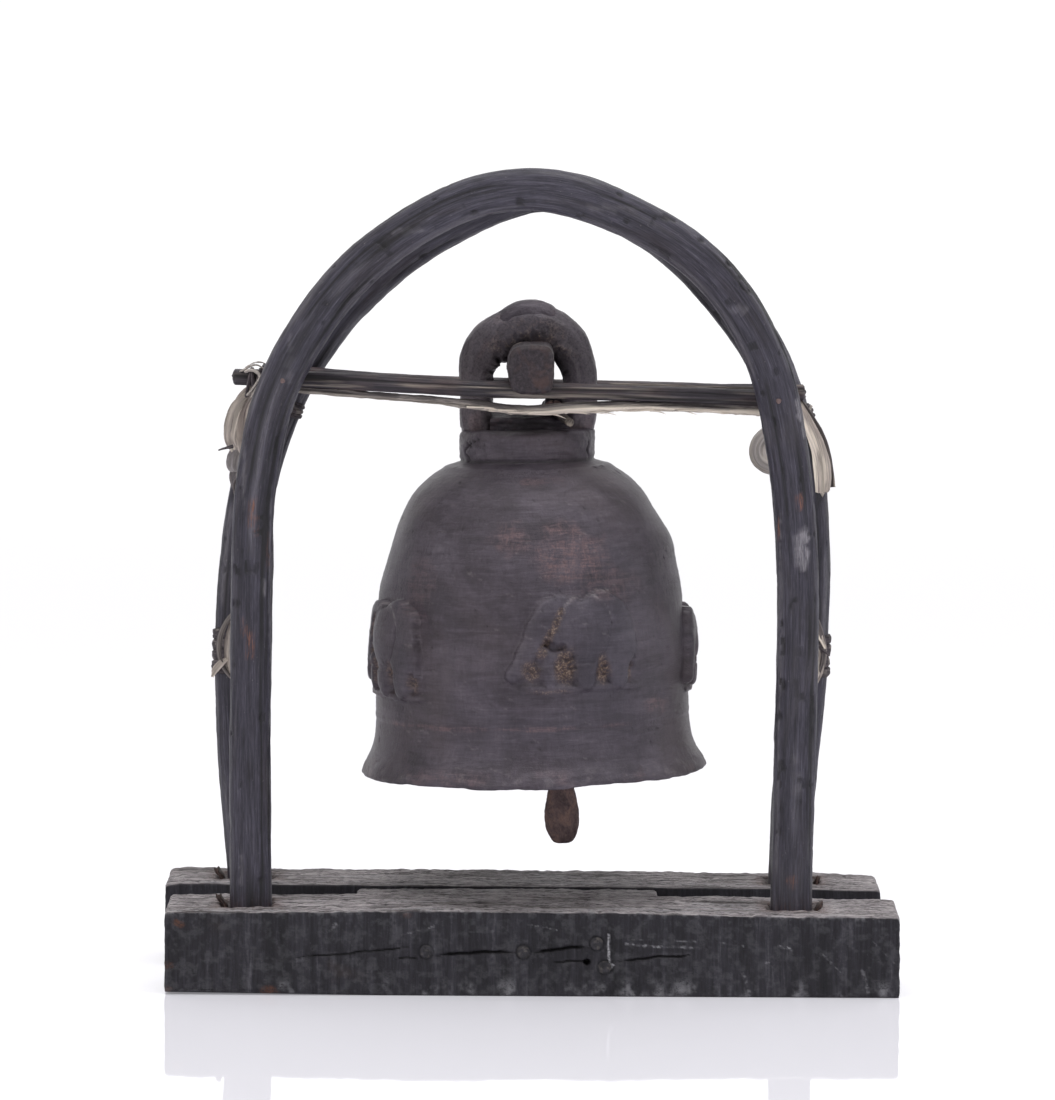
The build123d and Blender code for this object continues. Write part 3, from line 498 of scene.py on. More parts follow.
def rusty_iron(name):
    m = Mat(name, rough=0.7, metallic=0.25, spec=0.4)
    g = m.attr("gco", True)
    a = m.noise(g, 1.0, 7, 0.7, 0.4, (120, 160, 160))
    b = m.noise(g, 1.0, 6, 0.75, 0.0, (800, 900, 900), (3, 3, 3))
    c = m.ramp(a, [(0.32, srgb(84, 70, 70)), (0.5, srgb(128, 108, 106)), (0.66, srgb(162, 132, 121)), (0.8, srgb(182, 142, 120))])
    c = m.mix(m.range(b, 0.5, 0.74, 0.0, 0.6), c, srgb(50, 42, 42))
    h = m.op("ADD", m.op("MULTIPLY", a, 0.6), m.op("MULTIPLY", b, 0.6))
    return m.done(c, m.range(b, 0.3, 0.7, 0.55, 0.85), m.bump(h, 0.8, 0.001))


def dry_bark(name, lo, mid, hi):
    """Dry cane and bark strip: lengthwise fibre, pale where the skin has split away."""
    m = Mat(name, rough=0.75, spec=0.25)
    g = m.attr("gco", True)
    fib = m.noise(g, 1.0, 8, 0.7, 0.3, (22, 900, 400))
    fib2 = m.noise(g, 1.0, 6, 0.66, 0.6, (60, 240, 240), (1, 5, 3))
    c = m.ramp(fib, [(0.30, lo), (0.48, mid), (0.66, hi)])
    c = m.mix(m.range(fib2, 0.5, 0.72, 0.0, 0.55), c, lo)
    c = m.mix(m.op("MULTIPLY", m.attr("pale"), m.range(fib, 0.28, 0.50), True), c, srgb(238, 226, 211))
    c = m.mix(m.attr("dark"), c, srgb(38, 34, 34))
    h = m.op("ADD", m.op("MULTIPLY", fib, 0.9), m.op("MULTIPLY", fib2, 0.5))
    return m.done(c, m.range(fib, 0.3, 0.7, 0.62, 0.85), m.bump(h, 0.8, 0.0012))


HOOP = dark_hoop("hoop_wood_look")
BEAM = beam_wood("beam_wood_look")
PEG = plain_wood("peg_wood_look", srgb(40, 34, 34), srgb(66, 58, 56), srgb(100, 90, 84), (300, 300, 300))
TRENAIL = plain_wood("treenail_wood_look", srgb(22, 20, 23), srgb(42, 40, 45), srgb(68, 65, 70), (300, 300, 300))
WEDGE = plain_wood("wedge_wood_look", srgb(34, 24, 24), srgb(66, 48, 44), srgb(112, 84, 74), (40, 600, 600))
BAR = plain_wood("bar_wood_look", srgb(30, 25, 28), srgb(50, 43, 48), srgb(74, 65, 70), (120, 420, 420), 0.5, srgb(78, 58, 54), 0.4)
ROD = plain_wood("rod_wood_look", srgb(28, 25, 29), srgb(54, 49, 55), srgb(100, 93, 98), (18, 760, 760), 0.5, srgb(80, 64, 64), 0.5)
BRONZE = bronze("bronze_look")
IRON = rusty_iron("iron_look")
CANE = dry_bark("cane_look", srgb(52, 48, 50), srgb(102, 96, 95), srgb(166, 158, 151))
BARK = dry_bark("bark_look", srgb(84, 74, 74), srgb(152, 140, 138), srgb(198, 186, 182))
BARK_DARK = dry_bark("dark_bark_look", srgb(42, 38, 42), srgb(70, 64, 68), srgb(112, 104, 106))
BARK_GREY = dry_bark("grey_bark_look", srgb(78, 74, 74), srgb(126, 121, 121), srgb(176, 171, 170))
NAIL = rusty_iron("nail_look")
NAIL.node_tree.nodes["Principled BSDF"].inputs["Metallic"].default_value = 0.1


# ------------------------------------------------------------------ hoops
FRONT_C = [(-139.8, 14), (-139.9, 65.3), (-140.5, 116.4), (-140.6, 172.4), (-139.4, 223.3), (-138.3, 247.6), (-136.2, 263.3),
           (-134.0, 278), (-130.3, 294.7), (-124.1, 310.8), (-113.1, 330.6), (-98.9, 351.1), (-81.1, 369.8), (-61, 385.1),
           (-40.9, 396.3), (-18.5, 403.6), (-0.3, 405.6), (17.9, 403.6), (36, 397.6), (55.8, 388.6), (83.4, 370.9),
           (104.7, 347.6), (115.3, 329.2), (122.8, 308.5), (128.2, 287.7), (131.9, 262.3), (135.2, 223.3), (136, 172.4),
           (135.6, 136.8), (135, 101.1), (134.6, 65.3), (134.7, 14)]
REAR_C = [(-145.6, 14), (-146.0, 42), (-147.5, 62), (-151, 104), (-152.9, 155), (-151.2, 192), (-148.4, 218), (-144.3, 245),
          (-136.8, 273), (-125.6, 301.5), (-110, 328), (-94.5, 347.3), (-76.4, 364.1), (-54, 380.6), (-26, 395.0), (1, 403.6),
          (22, 403.0), (44, 395.4), (64, 384.6), (86, 367.6), (106, 345), (122, 323), (131.5, 301.5), (137.5, 281.4), (141.6, 265.8),
          (144.8, 240.5), (146.4, 210), (145.9, 185), (145, 157.6), (143.5, 136.5), (142, 118.6), (140, 90.4), (138.4, 60),
          (138.2, 14)]


def shift_line(pts, rules):
    """Moves the points of a hoop line that fall inside a rule's box by its (dx, dz), fading over 25 mm at the box ends."""
    out = []
    for x, z in pts:
        for (x0, x1, z0, z1, dx, dz) in rules:
            f = min(1.0, max(0.0, min(x - x0, x1 - x, z - z0, z1 - z) / 25.0 + 1.0))
            x, z = x + dx * f, z + dz * f
        out.append((x, z))
    return out


FRONT_C = shift_line(FRONT_C, [(-160, -100, -40, 215, 0.5, 0.0), (100, 160, -40, 262, 0.9, 0.0), (30, 125, 310, 400, 1.1, 0.8), (-120, 0, 330, 420, -0.4, 0.5)])
REAR_C = shift_line(REAR_C, [(-170, -100, 40, 205, 1.2, 0.0), (100, 170, 40, 262, 0.7, 0.0), (-112, -30, 326, 392, 0.6, -0.6)])


def hoop(name, pts, y, rad, dep, node, seed, e, pale_list=(), scar_list=(), width=None):
    P2, s = curve_through(pts, 0.9, 7.0)
    P = np.column_stack([P2[:, 0], np.full(len(P2), y), P2[:, 1]])
    T = np.gradient(P, axis=0)
    T /= np.linalg.norm(T, axis=1)[:, None]
    N = np.cross(T, (0, 1, 0))
    if N[len(N) // 2][2] < 0:
        N = -N
    sw = Sweep(P, s, N, (0, 1, 0), 56)
    w = np.ones(len(s)) if width is None else np.interp(s / s[-1], *width)
    w = w * (1 + 0.018 * fbm(np.column_stack([s * 0.012, s * 0, s * 0]), seed, 3))
    sw.superellipse(rad / 2 * w, dep / 2 * (0.5 + 0.5 * w), e)
    L = sw.local()
    ph = np.broadcast_to(sw.phi, sw.u.shape).reshape(-1)
    # slow waves, long facets and grain
    d = 0.40 * fbm(L * (0.016, 0.06, 0.06), seed + 1, 3) + 0.22 * fbm(L * (0.03, 0.22, 0.22), seed + 2, 3)
    d += 0.20 * fbm(L * (0.10, 0.9, 0.9), seed + 3, 3)
    groove = fbm(L * (0.012, 0.5, 0.5) + 40, seed + 4, 2)
    g = smooth01(groove, 0.42, 0.75)
    d -= 0.55 * g
    # nicks
    nick = smooth01(fbm(L * (0.12, 0.25, 0.25) + 9, seed + 5, 2), 0.72, 1.0)
    d -= 0.9 * nick
    sw.push(d)
    sw.P = sw.P + N * (0.35 * fbm(np.column_stack([s * 0.02, s * 0, s * 0 + 3]), seed + 6, 2))[:, None]
    V = sw.verts()
    front = smooth01(-np.sign(y) * 0 + (V[:, 1] - y) / dep * -2, 0.2, 0.8) if y < 0 else smooth01((V[:, 1] - y) / dep * 2, 0.2, 0.8)
    pale = 0.30 * smooth01(np.abs(fbm(L * (0.008, 0.16, 0.16) + 70, seed + 7, 3)), 0.55, 0.95)
    # painted highlight: the hoop's arrises are coloured lighter, standing in for the highlight lines along its edges
    edge = np.maximum(bump1(np.mod(ph, np.pi / 2), np.pi / 4, 0.16), 0)
    pale = np.maximum(pale, edge * 0.38 * smooth01(fbm(L * (0.02, 0.02, 0.02) + 5, seed + 8, 3), -0.2, 0.5))
    scar = np.zeros(len(V))
    for (x, z, lx, lz, amt) in pale_list:
        r = np.hypot((V[:, 0] - x) / lx, (V[:, 2] - z) / lz) + 0.35 * fbm(V * 0.25, seed + 9, 3)
        pale = np.maximum(pale, amt * smooth01(r, 1.0, 0.45) * front)
    for (x, z, lx, lz, amt) in scar_list:
        r = np.hypot((V[:, 0] - x) / lx, (V[:, 2] - z) / lz) + 0.35 * fbm(V * 0.3, seed + 10, 3)
        scar = np.maximum(scar, amt * smooth01(r, 1.0, 0.5) * front)
    dark = np.clip(0.8 * g + 0.6 * nick, 0, 0.9)
    foot = smooth01(V[:, 2], 52, 41)
    scar = np.maximum(scar, 0.12 * foot)
    return sw.mesh(name, HOOP, "stand", node, "hoop_wood", {"pale": pale, "scar": scar, "dark": dark})


hoop("hoop_front", FRONT_C, -50.0, 21.0, 19.0, "front_arch", 11, 3.4,
     pale_list=[(139, 226, 4, 13, 0.8), (137, 299, 3.0, 10, 0.8), (139, 287, 1.6, 6, 0.7), (-129.6, 205, 1.2, 60, 0.35), (127.5, 180, 1.2, 70, 0.4),
                (105, 346, 6, 3, 0.25), (-60, 385, 14, 2, 0.3), (40, 397, 18, 2, 0.25), (-133, 205, 1.5, 7, 0.6), (-150, 277, 1.4, 16, 0.35),
                (-143, 262, 1.2, 20, 0.3), (-120, 322, 2, 16, 0.25), (144, 262, 1.2, 1.0, 0.9), (-144, 60, 1.5, 14, 0.3), (137, 110, 2, 18, 0.3)],
     scar_list=[(-137.5, 240, 2.0, 12, 1.0), (-139.2, 176, 1.8, 8, 1.0), (133.9, 56.6, 2.6, 5, 1.0), (137.5, 250, 1.6, 6, 0.8),
                (-131, 225, 1.0, 10, 0.7), (-143.5, 184, 1.2, 6, 0.7), (126.5, 236, 1.0, 8, 0.8)])
hoop("hoop_rear", REAR_C, 50.0, 23.0, 20.0, "rear_arch", 23, 2.7,
     width=([0, 0.05, 0.2, 0.32, 0.5, 0.68, 0.8, 0.95, 1], [1.0, 1.0, 1.06, 1.0, 0.95, 1.0, 1.04, 0.98, 1.0]))


# ------------------------------------------------------------------ foot beams
def rect_ring(a, b, r, da, db, dback):
    """Points round a rounded rectangle, u in -a..a (front is +a), w in -b..b (top is +b), with their own spacing on each face."""
    pts = []

    def run(p, q, d):
        n = max(2, int(round(math.dist(p, q) / d)))
        for i in range(n):
            pts.append((p[0] + (q[0] - p[0]) * i / n, p[1] + (q[1] - p[1]) * i / n))

    def arc(cx, cy, a0):
        for i in range(4):
            t = math.radians(a0 + 90 * i / 4)
            pts.append((cx + r * math.cos(t), cy + r * math.sin(t)))

    run((a, -b + r), (a, b - r), da)
    arc(a - r, b - r, 0)
    run((a - r, b), (-a + r, b), db)
    arc(-a + r, b - r, 90)
    run((-a, b - r), (-a, -b + r), dback)
    arc(-a + r, -b + r, 180)
    run((-a + r, -b), (a - r, -b), 3.0)
    arc(a - r, -b + r, 270)
    return np.array(pts)


def line_dist(x, z, pts):
    """Distance to a polyline and how far along it (0..1)."""
    best, where = np.full(len(x), 1e9), np.zeros(len(x))
    seg = [math.dist(p, q) for p, q in zip(pts, pts[1:])]
    done, total = 0.0, sum(seg)
    for (p, q), L in zip(zip(pts, pts[1:]), seg):
        t = np.clip(((x - p[0]) * (q[0] - p[0]) + (z - p[1]) * (q[1] - p[1])) / (L * L), 0, 1)
        d = np.hypot(x - p[0] - t * (q[0] - p[0]), z - p[1] - t * (q[1] - p[1]))
        m = d < best
        best[m], where[m] = d[m], ((done + t * L) / total)[m]
        done += L
    return best, where


def beam(name, x0, x1, y, front, node, seed, depth, top_z, step, fine, cracks=(), holes=(), pegs=(), legs=(), paint=(), rust=(), bottom=0.0,
         half_d=25.0, slant=0.0, back=0.0):
    """A hewn timber along X. front is the Y direction of its outer face; top_z is [(x, z), ...] along its top edge."""
    n = int(round((x1 - x0) / step)) + 1
    X = np.linspace(x0, x1, n)
    P = np.column_stack([X, np.full(n, y), np.full(n, 21.0)])
    sw = Sweep(P, X, (0, front, 0), (0, 0, 1), 4)
    ring = rect_ring(half_d, 21.0, 1.3, fine, fine * 1.1, 1.6)
    k = len(ring)
    sw.k = k
    sw.u, sw.w = np.tile(ring[:, 0], (n, 1)), np.tile(ring[:, 1], (n, 1))
    tz = np.interp(X, [p[0] for p in top_z], [p[1] for p in top_z]) - 21.0
    # the top follows its measured line
    up = sw.w > 0
    rise = back * (half_d - sw.u * (1 if front < 0 else -1)) / (2 * half_d)
    sw.w = np.where(up, sw.w * ((tz[:, None] + rise) / 21.0), sw.w)
    tzr = tz[:, None] + rise
    Xg = np.broadcast_to(X[:, None], sw.u.shape)
    L = np.stack([Xg, sw.u, sw.w], -1).reshape(-1, 3)
    ff = smooth01(sw.u, half_d - 0.6, half_d - 0.1).reshape(-1)
    tf = smooth01(sw.w - tzr, -1.0, -0.2).reshape(-1)
    bf = smooth01(sw.w, -19.4, -20.2).reshape(-1)
    # body waves, saw chatter on the faces, open grain on the top
    d = 0.50 * fbm(L * (0.018, 0.05, 0.05), seed, 3) * (1 - bf)
    d += ff * (0.16 * fbm(L * (0.28, 0.3, 0.02), seed + 1, 3) + 0.10 * fbm(L * (0.05, 0.5, 1.1), seed + 2, 3))
    gr = fbm(L * (0.03, 0.75, 0.75), seed + 3, 4)
    pitn = fbm(L * (0.35, 0.9, 0.9), seed + 14, 3)
    d += tf * (0.36 * gr + 0.30 * fbm(L * (0.09, 0.12, 0.12), seed + 4, 3) + 0.30 * pitn) - tf * 0.35
    dark = 0.75 * tf * np.maximum(smooth01(gr, -0.35, -0.75), 0.8 * smooth01(pitn, -0.4, -0.8))
    edge = smooth01(np.hypot(np.maximum(sw.u.reshape(-1) - (half_d - 3), 0), np.maximum((sw.w - tzr + 3).reshape(-1), 0)), 2.6, 4.1)
    d -= edge * (0.7 + 0.9 * fbm(L * (0.16, 0.1, 0.1), seed + 5, 4))
    z = L[:, 2] + 21.0
    for pts, wd, dp in cracks:
        dist, t = line_dist(L[:, 0], z + 0.5 * fbm(L * (0.18, 0.0, 0.0), seed + 6, 3), pts)
        taper = np.clip(np.minimum(t, 1 - t) * 5, 0.15, 1)
        g = np.exp(-(dist / (wd * taper)) ** 2) * ff * (dist < 4)
        d -= dp * g * taper
        dark = np.maximum(dark, np.clip(1.25 * g, 0, 1) * (0.35 + 0.65 * taper))
    for hx, hz, r in holes:
        q = np.hypot(L[:, 0] - hx, (z - hz) * 1.2)
        g = smooth01(q, r * 1.15, r * 0.6) * ff
        d -= 3.5 * g
        dark = np.maximum(dark, g)
    for hx, hz, r in pegs:
        q = np.hypot(L[:, 0] - hx, z - hz)
        g = bump1(q, r + 0.2, 0.35) * ff
        d -= 0.45 * g
        dark = np.maximum(dark, 0.5 * g)
    scar = np.zeros(len(L))
    for lx, side_w, dep in legs:
        q = np.maximum(np.abs(L[:, 0] - lx) - side_w / 2, np.abs(L[:, 1]) - dep / 2) + 1.0 * fbm(L * (0.3, 0.3, 0.3), seed + 8, 3)
        g = smooth01(q, 2.2, 0.0) * tf
        d -= 1.6 * g
        dark = np.maximum(dark, 0.55 * g)
        scar = np.maximum(scar, 0.45 * smooth01(q, 9, 1.5) * tf)
    for rx, rz, r, amt in rust:
        q = np.hypot(L[:, 0] - rx, (z - rz) * 1.6) + 1.5 * fbm(L * 0.3, seed + 9, 3)
        scar = np.maximum(scar, amt * smooth01(q, r, r * 0.4))
    pale = 0.45 * tf * smooth01(fbm(L * (0.02, 0.4, 0.4) + 8, seed + 10, 3), 0.25, 0.9)
    low = smooth01(z, 13, 2) * ff
    pale = np.maximum(pale, 0.42 * low * smooth01(fbm(L * (0.10, 0.1, 0.07), seed + 11, 5), 0.05, 0.9))
    for pts, wd, amt in paint:
        dist, t = line_dist(L[:, 0] + 0.15 * fbm(L * 0.8, seed + 12, 2), z, pts)
        worn = 0.15 + 0.85 * smooth01(fbm(L * (0.55, 0.5, 0.9), seed + 15, 4), -0.15, 0.45)
        pale = np.maximum(pale, (amt if amt > 0.9 else 0.75 * amt * worn) * smooth01(dist + 0.3 * fbm(L * 0.7, seed + 16, 2), wd, wd * 0.3) * ff)
    pale = np.maximum(pale, 0.35 * edge * smooth01(fbm(L * (0.3, 0.3, 0.3), seed + 13, 3), -0.1, 0.5))
    # keep the foot flat on the ground, lifted a touch where the real one has warped
    dd = d.reshape(sw.u.shape)
    r = np.hypot(sw.u, sw.w)
    nu = np.where(np.abs(sw.u) > half_d - 1.31, np.sign(sw.u), 0.0)
    nw = np.where(sw.w > tzr - 1.31, 1.0, 0.0)
    nn = np.hypot(nu, nw) + 1e-9
    sw.u = sw.u + dd * nu / np.maximum(nn, 1)
    sw.w = sw.w + dd * nw / np.maximum(nn, 1)
    if slant:
        foot = np.interp(X, [x0, x0 + 110], [slant, 0.0])[:, None]
        sw.w = np.where(sw.w < -19, sw.w + foot, sw.w)
    V = sw.verts()
    # end grain: slight rounding and rough sawn ends
    for end, xe in ((0, x0), (1, x1)):
        q = np.abs(V[:, 0] - xe)
        m = smooth01(q, 1.4, 0.0)
        V[:, 1] += -np.sign(V[:, 1] - y) * m * 0.8 * (np.abs(V[:, 1] - y) > half_d - 2)
        V[:, 2] += -m * 0.8 * (V[:, 2] > 38)
    sw.P[:, 0] = X
    endn = 0.5
    attrs = {"top": tf, "dark": dark, "pale": pale, "scar": scar}
    # place directly, because the ends were edited
    n_, k_ = sw.u.shape
    quads = [ring_quads(n_, k_)]
    Vx, A = [V], {"gco": L * MM, **attrs}
    add = {key: [] for key in A}
    tri, count = [], n_ * k_
    for end in (0, n_ - 1):
        idx = np.arange(end * k_, end * k_ + k_)
        c = V[idx].mean(0)
        prev, sgn = idx, (-1 if end == 0 else 1)
        for m, f in enumerate((0.93, 0.8, 0.62, 0.42, 0.2)):
            ringv = c + (V[idx] - c) * f
            ringv[:, 0] += sgn * 0.25 + endn * 0.6 * fbm(ringv * (0.2, 0.25, 0.25), seed + 20 + m, 3)
            Vx.append(ringv)
            for key in A:
                src = A[key][idx]
                mid = src.mean(0)
                add[key].append(mid + (src - mid) * f)
            new = np.arange(count, count + k_)
            j = (np.arange(k_) + 1) % k_
            q = np.stack([prev, prev[j], new[j], new], -1)
            quads.append(q[:, ::-1] if end == 0 else q)
            prev, count = new, count + k_
        Vx.append(c[None])
        for key in A:
            add[key].append(A[key][idx].mean(0)[None])
        j = (np.arange(k_) + 1) % k_
        tr = np.stack([prev, prev[j], np.full(k_, count)], -1)
        tri.append(tr[:, ::-1] if end == 0 else tr)
        count += 1
    V = np.vstack(Vx)
    A = {key: np.concatenate([A[key]] + add[key]) for key in A}
    V[:, 2] = np.maximum(V[:, 2], 0.0)
    Q, T3 = np.vstack(quads), np.vstack(tri)
    if front < 0:
        Q, T3 = Q[:, ::-1], T3[:, ::-1]
    return make(name, V, Q, T3, A, BEAM, "stand", node)


FRONT_PEGS = [(-50.0, 22.5, 3.5), (-1.0, 22.5, 3.5), (36.0, 27.0, 3.5), (40.0, 15.0, 3.5)]
beam("foot_beam_front", -181.9, 188.6, -50.0, -1, "front_beam", 101, 50.0,
     [(-182, 42.6), (-120, 43.0), (-40, 43.8), (40, 43.4), (110, 42.2), (188, 41.2)], 0.62, 0.6,
     cracks=[([(-120, 19.2), (-89, 21.6), (-72, 23.4), (-52, 25.0)], 0.36, 1.5), ([(-66, 18.6), (-53.5, 19.8)], 0.34, 1.3),
             ([(-46.0, 20.8), (-24, 22.0), (-4.6, 22.8)], 0.6, 3.0), ([(3.0, 22.6), (16.4, 24.2), (32.0, 25.2)], 0.6, 3.0),
             ([(12.0, 17.4), (33, 17.9)], 0.34, 1.5), ([(45.0, 18.0), (61.8, 20.0), (86.0, 21.4)], 0.42, 2.2)],
     holes=[(31.0, 17.6, 1.9)], pegs=FRONT_PEGS, legs=[(-141.5, 24, 19), (136.2, 24, 19)],
     paint=[([(42.0, 31.5), (41.8, 27.0), (42.4, 18.5)], 0.75, 1.0), ([(41.4, 17.4), (43.0, 14.6), (44.2, 16.2), (41.4, 17.4)], 0.7, 1.0),
            ([(50.7, 26.9), (66, 25.6), (88, 25.2)], 0.8, 0.75), ([(52, 29.2), (86, 28.4)], 0.35, 0.5), ([(98, 27.6), (110, 26.0)], 0.5, 0.45),
            ([(128, 26), (134, 24.4)], 1.1, 0.9), ([(118, 15.4), (124, 18.8)], 0.6, 0.45), ([(150, 22), (160, 12)], 0.5, 0.3),
            ([(175, 29), (186, 18)], 0.4, 0.3), ([(-62, 31.0), (-46, 35.5)], 0.5, 0.45), ([(-100, 33), (-96, 36)], 1.6, 0.4),
            ([(-28, 32.5), (-16, 33)], 0.4, 0.3), ([(1, 36.5), (16, 34.0)], 0.35, 0.5), ([(110, 12), (113, 3)], 1.2, 0.5),
            ([(170, 14), (173, 3)], 1.2, 0.4)],
     rust=[(-175, 36, 3.4, 0.8), (-129, 2.4, 5.5, 0.7), (-181, 15, 4.0, 0.4), (-181, 2, 5.0, 0.4), (-60, 41, 3, 0.3)], slant=1.2, back=2.2)
beam("foot_beam_rear", -187.9, 184.8, 50.0, 1, "rear_beam", 151, 50.0,
     [(-188, 42.2), (-180, 43.2), (-60, 42.8), (60, 42.4), (150, 42.2), (185, 41.2)], 0.9, 0.9,
     cracks=[([(-150, 26), (-110, 27.5), (-70, 26)], 0.7, 2.2), ([(60, 15), (110, 17)], 0.6, 1.8)],
     pegs=[(-44.0, 22.0, 3.5), (4.0, 24.0, 3.5), (42.0, 21.0, 3.5)], legs=[(-147.1, 27, 20), (139.8, 27, 20)], rust=[(100, 5, 6, 0.6)], back=2.0)
beam("spacer_block", -87.5, 68.0, 0.0, -1, "spacer_block", 171, 50.0, [(-87.5, 41.0), (0, 41.4), (68, 40.6)], 0.9, 0.8)


# ------------------------------------------------------------------ pegs, wedges, nails
def pegs(name, spots, y_out, y_in, r, node, seed, mat, slot, body="stand", proud_noise=0.3, k=24, step=1.6):
    """Short round pegs along Y as one mesh; each head is cut a little out of true."""
    Vs, Qs, Ts, As, base = [], [], [], {"gco": [], "pale": [], "dark": []}, 0
    for i, (x, z) in enumerate(spots):
        n = int(abs(y_in - y_out) / step) + 2
        Y = np.linspace(y_out, y_in, n)
        ph = np.linspace(0, 2 * np.pi, k, endpoint=False)
        rad = r * (1 + 0.03 * fbm(np.column_stack([np.cos(ph), np.sin(ph), ph * 0 + i * 5]), seed, 2))
        scale = np.ones(n)
        scale[0], scale[-1] = 0.92, 0.9
        V = np.stack([x + scale[:, None] * rad * np.cos(ph), np.repeat(Y[:, None], k, 1), z + scale[:, None] * rad * np.sin(ph)], -1)
        V[0, :, 1] += proud_noise * np.cos(ph + i)
        rings = [V.reshape(-1, 3)]
        quads = [ring_quads(n, k)]
        count, tri = n * k, []
        for end, row in ((0, 0), (1, n - 1)):
            c = V[row].mean(0)
            prev = np.arange(row * k, row * k + k)
            for f in (0.75, 0.5, 0.25):
                q = c + (V[row] - c) * f
                q[:, 1] += 0.12 * fbm(q * 1.4, seed + 3, 2)
                rings.append(q)
                new = np.arange(count, count + k)
                j = (np.arange(k) + 1) % k
                s4 = np.stack([prev, prev[j], new[j], new], -1)
                quads.append(s4[:, ::-1] if end == 0 else s4)
                prev, count = new, count + k
            rings.append(c[None])
            j = (np.arange(k) + 1) % k
            t3 = np.stack([prev, prev[j], np.full(k, count)], -1)
            tri.append(t3[:, ::-1] if end == 0 else t3)
            count += 1
        V = np.vstack(rings)
        Q, T = np.vstack(quads), np.vstack(tri)
        if y_in > y_out:
            Q, T = Q[:, ::-1], T[:, ::-1]
        Vs.append(V)
        Qs.append(Q + base)
        Ts.append(T + base)
        As["gco"].append(V * MM)
        rr = np.hypot(V[:, 0] - x, V[:, 2] - z)
        As["pale"].append(0.12 * smooth01(fbm(V * 0.6, seed + 4, 3), 0.0, 0.6))
        As["dark"].append(0.6 * smooth01(rr, r * 0.86, r) * (np.abs(V[:, 1] - y_out) < 2))
        base += len(V)
    return make(name, np.vstack(Vs), np.vstack(Qs), np.vstack(Ts), {k2: np.concatenate(v) for k2, v in As.items()}, mat, body, node)


pegs("treenails_front", [(p[0], p[1]) for p in FRONT_PEGS], -75.25, -8.5, 3.5, "front_treenails", 201, TRENAIL, "peg_wood")
pegs("treenails_rear", [(-44.0, 22.0), (4.0, 24.0), (42.0, 21.0)], 75.4, 8.5, 3.5, "rear_treenails", 205, TRENAIL, "peg_wood")


def splinters(name, spots, node):
    """Ragged wedges driven down beside each leg, with a torn upper end."""
    Vs, Qs, Ts, base = [], [], [], 0
    G, D = [], []
    for i, (x, y, side, z1, lean) in enumerate(spots):
        n, k = 18, 16
        Z = np.linspace(14.5, z1, n)
        ph = np.linspace(0, 2 * np.pi, k, endpoint=False)
        t = (Z - 14.5) / (z1 - 14.5)
        a = 0.35 + 1.1 * smooth01(t, 0, 0.6)
        b = 6.6 - 2.2 * smooth01(t, 0.75, 1.0)
        cx = x + side * (0.6 * t + lean * smooth01(t, 0.84, 1.0))
        V = np.stack([cx[:, None] + a[:, None] * np.cos(ph), y + b[:, None] * np.sin(ph), np.repeat(Z[:, None], k, 1)], -1)
        V[..., 2] += (smooth01(t, 0.8, 1)[:, None]) * 1.3 * fbm(np.column_stack([np.repeat(ph, 1) * 0 + i, np.sin(ph) * 2.4, np.cos(ph)]), 211 + i, 3)[None, :]
        V = V.reshape(-1, 3)
        V[:, 0] += 0.3 * fbm(V * 0.5, 213 + i, 3) * (V[:, 2] > 41)
        Q = ring_quads(n, k)
        c0, c1 = V[:k].mean(0), V[-k:].mean(0)
        j = (np.arange(k) + 1) % k
        T = np.vstack([np.stack([j, np.arange(k), np.full(k, n * k)], -1),
                       np.stack([(n - 1) * k + np.arange(k), (n - 1) * k + j, np.full(k, n * k + 1)], -1)])
        V = np.vstack([V, c0[None], c1[None]])
        Vs.append(V)
        Qs.append(Q + base)
        Ts.append(T + base)
        G.append(np.column_stack([V[:, 2], V[:, 0], V[:, 1]]) * MM)
        D.append(0.5 * smooth01(fbm(V * 0.5, 219, 3), 0.1, 0.6))
        base += len(V)
    V = np.vstack(Vs)
    return make(name, V, np.vstack(Qs), np.vstack(Ts), {"gco": np.vstack(G), "dark": np.concatenate(D), "pale": np.zeros(len(V))}, WEDGE,
                "stand", node)


splinters("leg_wedges", [(-152.1, -50, -1, 47.2, 3.4), (146.9, -50, 1, 45.0, 2.4), (-159.1, 50, -1, 48.0, 3.0), (151.6, 50, 1, 44.8, 1.4)], "leg_wedges")


# ------------------------------------------------------------------ cross rods, bar and cane strip
ROD_F = [(-149.6, 310.2), (-108, 308.9), (-65, 306.8), (-40, 305.5), (6, 304.0), (36, 303.3), (57, 302.7), (105, 301.3), (137.2, 300.2)]
ROD_R = [(-138.5, 309.6), (-113.5, 308.0), (-98, 306.6), (-67, 304.8), (-41, 303.7), (-15, 302.9), (48, 301.7), (89, 300.9), (110, 300.5), (143.6, 300.2)]


def rod_z(x, line=ROD_F):
    return float(np.interp(x, [p[0] for p in line], [p[1] for p in line]))


